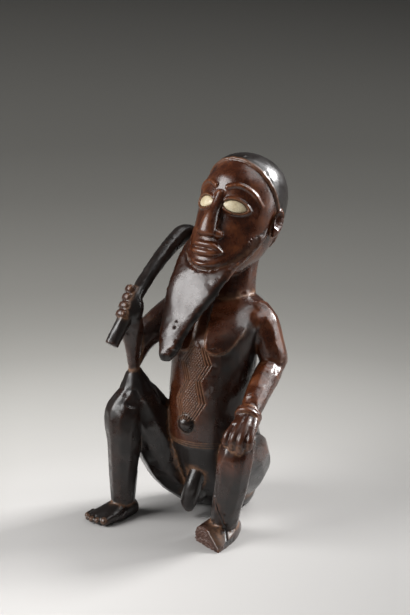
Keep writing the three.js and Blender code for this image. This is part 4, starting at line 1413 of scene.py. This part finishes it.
detail = np.clip(KEPT_CUTS * (scar + crack) + holes + nail + lid_line, 0, 1)
detail = np.maximum(detail, KEPT_FINGERS * tips)
face = part_of("head", "nose", "upper_lip", "lower_lip", "left_ear")
detail = spread(np.maximum(detail, KEPT_FACE * face), edges, 2)
group = carving.vertex_groups.new(name="keep")
for level in range(1, KEPT_LEVELS + 1):
    members = np.flatnonzero(np.round(detail * KEPT_LEVELS).astype(int) == level)
    if len(members):
        group.add(members.tolist(), level / KEPT_LEVELS, "REPLACE")
carving.data.calc_loop_triangles()
ratio = TRIANGLES / len(carving.data.loop_triangles)
apply_modifier(
    carving, "DECIMATE", decimate_type="COLLAPSE", ratio=ratio, use_collapse_triangulate=True,
    vertex_group="keep", vertex_group_factor=1.0, invert_vertex_group=True,
)
carving.vertex_groups.clear()
bpy.ops.object.shade_smooth()
print("triangles:", len(carving.data.polygons))

# %% [markdown]
# ## Inlaid eyes
#
# Each eye is one almond of cream ceramic or bone with a low dome, let in a little below the
# lid's edge. It is drawn out of its own back outline like the wooden forms, in the place and
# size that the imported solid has.

# %% Almond inlays
# the dome's profile: share of the almond's size, and millimetres out of the face
DOME = [(1, 0), (0.985, 0.12), (0.93, 0.3), (0.82, 0.48), (0.65, 0.6), (0.42, 0.67), (0.16, 0.7)]
BORDER = 0.6
CREASE_ANGLE = 50


def almond_ring(shrink, depth, sides=56):
    angle = np.arange(sides) / sides * 2 * np.pi
    x = np.cos(angle) * (EYE["long"] - EYE_GAP) * shrink
    z = pinched(angle) * (EYE["tall"] - EYE_GAP) * shrink
    return np.stack([x, depth + x * x / (2 * FACE_RADIUS), z], 1)


inlays = []
for side, name in ((1, "left_eye"), (-1, "right_eye")):
    origin, spin = eye_axes(side)
    outlines = [almond_ring(1, EYE["back"] - EYE_GAP), almond_ring(1, EYE["front"] + BORDER)]
    outlines += [almond_ring(shrink, EYE["front"] - out) for shrink, out in DOME]
    inlay = draw_out(f"{name}_inlay", [on_head(r @ spin.T + origin) for r in outlines])
    bpy.ops.object.shade_smooth_by_angle(angle=math.radians(CREASE_ANGLE))
    inlays.append(inlay)
    print(inlay.name, [round(v / MM, 1) for v in inlay.dimensions], "mm")

# %% [markdown]
# ## Finishes
#
# Oiled dark wood is a dielectric with a thin polish over it: a Principled shader with a low
# roughness and a light coat. What makes it look old is the variation, so the parts of it
# that other finishes can share are node groups: the fibres of the wood, the mottled patina
# and the fine crackle of the inlay. All of them read Object coordinates in metres.

# %% Helpers for nodes
def node(tree, kind, inputs=(), **settings):
    """Adds a node. Each input is given a value, or the output that feeds it."""
    made = tree.nodes.new(kind)
    for name, value in settings.items():
        setattr(made, name, value)
    for key, source in dict(inputs).items():
        if isinstance(source, bpy.types.NodeSocket):
            tree.links.new(source, made.inputs[key])
        else:
            made.inputs[key].default_value = source
    return made


def maths(tree, operation, first, second, clamp=False):
    made = node(tree, "ShaderNodeMath", {0: first, 1: second}, operation=operation, use_clamp=clamp)
    return made.outputs["Value"]


def new_range(tree, source, low, high, to_low=0.0, to_high=1.0, soft=True):
    """Maps low to high onto a new range, with soft ends or with straight ones."""
    made = node(tree, "ShaderNodeMapRange", {
        "Value": source, "From Min": low, "From Max": high, "To Min": to_low, "To Max": to_high})
    if soft:
        made.interpolation_type = "SMOOTHSTEP"
    return made.outputs["Result"]


def blend_colour(tree, share, first, shade):
    """Covers the first colour with a shade, as far as the share says."""
    made = node(tree, "ShaderNodeMix", {"Factor": share, "A": first, "B": (*shade, 1)},
                data_type="RGBA", blend_type="MIX")
    return made.outputs["Result"]


def ramp(tree, source, stops):
    made = node(tree, "ShaderNodeValToRGB", {"Fac": source})
    while len(made.color_ramp.elements) < len(stops):
        made.color_ramp.elements.new(0.5)
    for element, (position, shade) in zip(made.color_ramp.elements, stops):
        element.position = position
        element.color = (*shade, 1)
    return made.outputs["Color"]


# %% Helpers for groups and materials
def new_group(name, inputs, outputs):
    """Inputs are (name, kind, value or None) and outputs are (name, kind)."""
    group = bpy.data.node_groups.new(name, "ShaderNodeTree")
    for label, kind, value in inputs:
        socket = group.interface.new_socket(label, in_out="INPUT", socket_type=kind)
        if value is not None:
            socket.default_value = value
    for label, kind in outputs:
        group.interface.new_socket(label, in_out="OUTPUT", socket_type=kind)
    return group, group.nodes.new("NodeGroupInput").outputs


def send_out(group, results):
    node(group, "NodeGroupOutput", results)
    print("group:", group.name)


def new_material(name, settings):
    material = bpy.data.materials.new(name)
    material.use_nodes = True
    shader = material.node_tree.nodes["Principled BSDF"]
    for key, value in settings.items():
        shader.inputs[key].default_value = value
    return material, material.node_tree, shader


def finish_with(piece, material):
    piece.data.materials.clear()
    piece.data.materials.append(material)


# %% Group: wood fibres
fibres, given = new_group(
    "wood_fibres",
    [("Place", "NodeSocketVector", None), ("Spacing", "NodeSocketFloat", 900.0)],
    [("Streaks", "NodeSocketFloat"), ("Pores", "NodeSocketFloat")],
)
stretch = node(fibres, "ShaderNodeMapping", {"Vector": given["Place"], "Scale": (1, 1, 0.07)})
streaks = node(fibres, "ShaderNodeTexNoise", {
    "Vector": stretch.outputs["Vector"], "Scale": given["Spacing"], "Detail": 4.0,
    "Roughness": 0.6, "Distortion": 0.4})
pores = node(fibres, "ShaderNodeTexNoise", {
    "Vector": stretch.outputs["Vector"], "Scale": 3200.0, "Detail": 1.0, "Roughness": 0.5})
send_out(fibres, {
    "Streaks": streaks.outputs["Fac"],
    "Pores": new_range(fibres, pores.outputs["Fac"], 0.28, 0.42, soft=False),
})

# %% Group: mottled patina
mottle, given = new_group(
    "mottled_patina",
    [("Place", "NodeSocketVector", None), ("Patches", "NodeSocketFloat", 90.0)],
    [("Broad", "NodeSocketFloat"), ("Fine", "NodeSocketFloat")],
)
broad_patches = node(mottle, "ShaderNodeTexNoise", {
    "Vector": given["Place"], "Scale": given["Patches"], "Detail": 5.0, "Roughness": 0.62})
fine_patches = node(mottle, "ShaderNodeTexNoise", {
    "Vector": given["Place"], "Scale": 520.0, "Detail": 4.0, "Roughness": 0.6})
send_out(mottle, {"Broad": broad_patches.outputs["Fac"], "Fine": fine_patches.outputs["Fac"]})

# %% Group: fine crackle
crackle, given = new_group(
    "fine_crackle",
    [("Place", "NodeSocketVector", None), ("Cells", "NodeSocketFloat", 700.0)],
    [("Lines", "NodeSocketFloat")],
)
cells = node(
    crackle, "ShaderNodeTexVoronoi",
    {"Vector": given["Place"], "Scale": given["Cells"], "Randomness": 1.0},
    feature="DISTANCE_TO_EDGE",
)
send_out(crackle, {
    "Lines": new_range(crackle, cells.outputs["Distance"], 0.0, 0.05, 1.0, 0.0, soft=False)})

# %% Colour of the carved wood
RED_WOOD = [
    (0.25, (0.018, 0.0045, 0.0022)), (0.5, (0.06, 0.0145, 0.0042)), (0.75, (0.165, 0.046, 0.0105)),
]
# the soot colour also paints the shade carried by the red mask
SOOT_AND_PAINTED_SHADE = (0.009, 0.006, 0.005)
RUBBED = (0.19, 0.058, 0.017)
DUST = (0.24, 0.115, 0.055)
BARE_WOOD = (0.075, 0.03, 0.018)
PORE = (0.006, 0.003, 0.002)

wood, tree, shader = new_material(
    "oiled_old_wood", {"Coat Weight": 0.2, "Coat Roughness": 0.14, "IOR": 1.5})
place = node(tree, "ShaderNodeTexCoord").outputs["Object"]
marks = node(tree, "ShaderNodeAttribute", attribute_name="patina")
masks = node(tree, "ShaderNodeSeparateColor", {"Color": marks.outputs["Color"]}).outputs
grain = node(
    tree, "ShaderNodeGroup", {"Place": place, "Spacing": 1100.0}, node_tree=fibres).outputs
patches = node(
    tree, "ShaderNodeGroup", {"Place": place, "Patches": 95.0}, node_tree=mottle).outputs

streaked = node(tree, "ShaderNodeVectorMath", {
    0: ramp(tree, patches["Broad"], RED_WOOD),
    "Scale": new_range(tree, grain["Streaks"], 0.3, 0.7, 0.72, 1.18),
}, operation="SCALE").outputs["Vector"]
mottling = maths(tree, "MULTIPLY", maths(tree, "SUBTRACT", patches["Broad"], 0.5), 0.9)
# the red mask is black patina and painted shade, and both take the soot colour
soot_and_painted_shade = new_range(tree, maths(tree, "ADD", masks["Red"], mottling), 0.22, 0.82)
shade = blend_colour(tree, soot_and_painted_shade, streaked, SOOT_AND_PAINTED_SHADE)
wear = maths(
    tree, "MULTIPLY", masks["Blue"], new_range(tree, patches["Fine"], 0.35, 0.62, 0.25, 1.0))
not_black = maths(tree, "SUBTRACT", 1.0, maths(tree, "MULTIPLY", masks["Red"], 0.8))
shade = blend_colour(tree, maths(tree, "MULTIPLY", wear, not_black), shade, RUBBED)
dusty = maths(
    tree, "MULTIPLY", masks["Green"], new_range(tree, patches["Fine"], 0.3, 0.6, 0.35, 1.0),
    clamp=True,
)
shade = blend_colour(tree, dusty, shade, DUST)
shade = blend_colour(tree, marks.outputs["Alpha"], shade, BARE_WOOD)
in_pore = maths(tree, "MULTIPLY", maths(tree, "SUBTRACT", 1.0, grain["Pores"]), 0.35)
shade = blend_colour(tree, in_pore, shade, PORE)
tree.links.new(shade, shader.inputs["Base Color"])
print("colour nodes:", len(tree.nodes))

# %% Gloss and fine relief of the carved wood
gloss = maths(tree, "ADD", new_range(tree, patches["Broad"], 0.35, 0.65, 0.2, 0.34),
              maths(tree, "MULTIPLY", dusty, 0.3))
gloss = maths(tree, "ADD", gloss, maths(tree, "MULTIPLY", masks["Red"], 0.07))
gloss = maths(tree, "ADD", gloss, maths(tree, "MULTIPLY", marks.outputs["Alpha"], 0.4), clamp=True)
tree.links.new(gloss, shader.inputs["Roughness"])
relief = maths(tree, "ADD", maths(tree, "MULTIPLY", grain["Streaks"], 0.5),
               maths(tree, "MULTIPLY", patches["Fine"], 0.6))
relief = maths(tree, "ADD", relief, maths(tree, "MULTIPLY", grain["Pores"], 0.25))
bump = node(tree, "ShaderNodeBump", {"Strength": 0.28, "Distance": 0.0003, "Height": relief})
tree.links.new(bump.outputs["Normal"], shader.inputs["Normal"])
finish_with(carving, wood)
print("wood nodes:", len(tree.nodes))

# %% Cream inlay with a fine crackle
CREAM = [(0.3, (0.46, 0.36, 0.2)), (0.5, (0.66, 0.56, 0.37)), (0.72, (0.78, 0.71, 0.52))]
CRACK_STAIN = (0.2, 0.11, 0.05)

cream, tree, shader = new_material("cream_inlay", {"Coat Weight": 0.25, "Coat Roughness": 0.2})
place = node(tree, "ShaderNodeTexCoord").outputs["Object"]
patches = node(
    tree, "ShaderNodeGroup", {"Place": place, "Patches": 260.0}, node_tree=mottle).outputs
lines = node(
    tree, "ShaderNodeGroup", {"Place": place, "Cells": 520.0}, node_tree=crackle).outputs["Lines"]
shade = blend_colour(tree, maths(tree, "MULTIPLY", lines, 0.45),
                     ramp(tree, patches["Broad"], CREAM), CRACK_STAIN)
tree.links.new(shade, shader.inputs["Base Color"])
gloss = new_range(tree, patches["Fine"], 0.3, 0.7, 0.28, 0.45)
tree.links.new(gloss, shader.inputs["Roughness"])
bump = node(tree, "ShaderNodeBump", {"Strength": 0.3, "Distance": 0.0001, "Height": lines},
            invert=True)
tree.links.new(bump.outputs["Normal"], shader.inputs["Normal"])
for inlay in inlays:
    finish_with(inlay, cream)
print("inlay nodes:", len(tree.nodes))

# %% Each piece rides on the one body and stands for its solid
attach(carving, "root")
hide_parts("figure")
for inlay, name in zip(inlays, ("left_eye", "right_eye")):
    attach(inlay, "root")
    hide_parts(name)

# %% [markdown]
# ## Floor and light
#
# The photograph has a plain pale floor that turns grey with distance, one large soft light
# from the left front, a second from the right behind, and soft shadows. One wide floor gives
# the whole background at this height of camera, and its colour is a painted pool of light
# that falls off around the figure. The right side of the picture is darker, so painted shade
# also darkens the floor across the view.

# %% Floor, with painted light and shade in its colour
FLOOR_RADIUS = 7.0
# painted light: the floor's colour is a pool of light, pale round its middle and greyer further out
FLOOR_PAINTED_LIGHT = [
    # metres from the middle of the painted pool of light, and how pale the floor is painted there
    (0.0, 0.54), (0.12, 0.54), (0.15, 0.505), (0.19, 0.435), (0.23, 0.39), (0.29, 0.325),
    (0.355, 0.24), (0.42, 0.188), (0.49, 0.156), (0.61, 0.127), (0.75, 0.104), (0.93, 0.094),
    (1.2, 0.105), (1.6, 0.118), (7.0, 0.12),
]
PAINTED_LIGHT_MIDDLE = (0.048, -0.087, 0)
TO_THE_RIGHT = (math.cos(turn), math.sin(turn), 0)
TO_THE_BACK = (-math.sin(turn), math.cos(turn), 0)
CAMERA_AWAY = 1.05
NEAREST = 0.6
VIEW_EDGE = 0.1
# how far painted shade darkens the right side of the view
RIGHT_SIDE_PAINTED_SHADE = 0.64


def floor_colour(tone):
    """A warm white that turns a little browner where the painted light leaves it darker."""
    return tone * 1.01, tone * 0.985, tone * (0.89 + 0.13 * tone)


bpy.ops.object.select_all(action="DESELECT")
bpy.ops.mesh.primitive_circle_add(vertices=96, radius=FLOOR_RADIUS, fill_type="TRIFAN")
floor = bpy.context.active_object
floor.name = "floor"
painted_floor_material, tree, shader = new_material(
    "pale_floor", {"Roughness": 0.6, "Specular IOR Level": 0.2})
place = node(tree, "ShaderNodeTexCoord").outputs["Object"]
distance = node(tree, "ShaderNodeVectorMath", {0: place, 1: PAINTED_LIGHT_MIDDLE}, operation="DISTANCE")
share_out = maths(tree, "DIVIDE", distance.outputs["Value"], FLOOR_RADIUS)
painted_light_stops = [(at / FLOOR_RADIUS, floor_colour(tone)) for at, tone in FLOOR_PAINTED_LIGHT]
# painted light: the pool of light is painted into the floor's colour by distance
painted_light_falloff = ramp(tree, share_out, painted_light_stops)
sideways, backwards = (
    node(tree, "ShaderNodeVectorMath", {0: place, 1: way}, operation="DOT_PRODUCT").outputs["Value"]
    for way in (TO_THE_RIGHT, TO_THE_BACK)
)
# painted shade: the floor is painted darker towards the right of the camera's view
from_camera = maths(tree, "MAXIMUM", maths(tree, "ADD", backwards, CAMERA_AWAY), NEAREST)
across_view = maths(tree, "DIVIDE", sideways, from_camera)
painted_side_shade = new_range(tree, across_view, -VIEW_EDGE, VIEW_EDGE, 1.0, RIGHT_SIDE_PAINTED_SHADE, soft=False)
painted_floor_colour = node(tree, "ShaderNodeVectorMath", {0: painted_light_falloff, "Scale": painted_side_shade}, operation="SCALE")
tree.links.new(painted_floor_colour.outputs["Vector"], shader.inputs["Base Color"])
finish_with(floor, painted_floor_material)
print("floor radius", FLOOR_RADIUS, "m")

# %% Lights
SUBJECT = Vector((0, 0, 0.1))
LIGHTS = [
    # name, direction from the figure, distance, width, height, watts
    ("left_front_softbox", (-0.63, -0.59, 0.51), 1.3, 0.85, 0.85, 22),
    ("back_right_softbox", (0.5, 0.72, 0.5), 1.3, 0.42, 0.42, 26),
    ("right_side_strip", (0.85, 0.52, 0.08), 1.3, 0.25, 1.0, 6),
    ("overhead_softbox", (0.31, 0.4, 0.86), 1.4, 1.1, 0.9, 10),
]
ROOM_GREY, ROOM_STRENGTH = 0.5, 0.14

for name, heading, far, wide, tall, watts in LIGHTS:
    heading = Vector(heading).normalized()
    bpy.ops.object.light_add(
        type="AREA", location=SUBJECT + heading * far,
        rotation=heading.to_track_quat("Z", "Y").to_euler(),
    )
    light = bpy.context.active_object
    light.name = name
    light.data.shape = "RECTANGLE"
    light.data.size, light.data.size_y = wide, tall
    light.data.energy = watts
    print(name, watts, "W")

world = bpy.data.worlds.new("studio")
bpy.context.scene.world = world
world.use_nodes = True
background = world.node_tree.nodes["Background"]
background.inputs["Color"].default_value = (ROOM_GREY, ROOM_GREY, ROOM_GREY, 1)
background.inputs["Strength"].default_value = ROOM_STRENGTH
bpy.context.scene.view_settings.view_transform = "Standard"

# %% [markdown]
# ## Last update
#
# The view layer is brought up to date once more at the end.

# %% Bring the view layer up to date
bpy.context.view_layer.update()
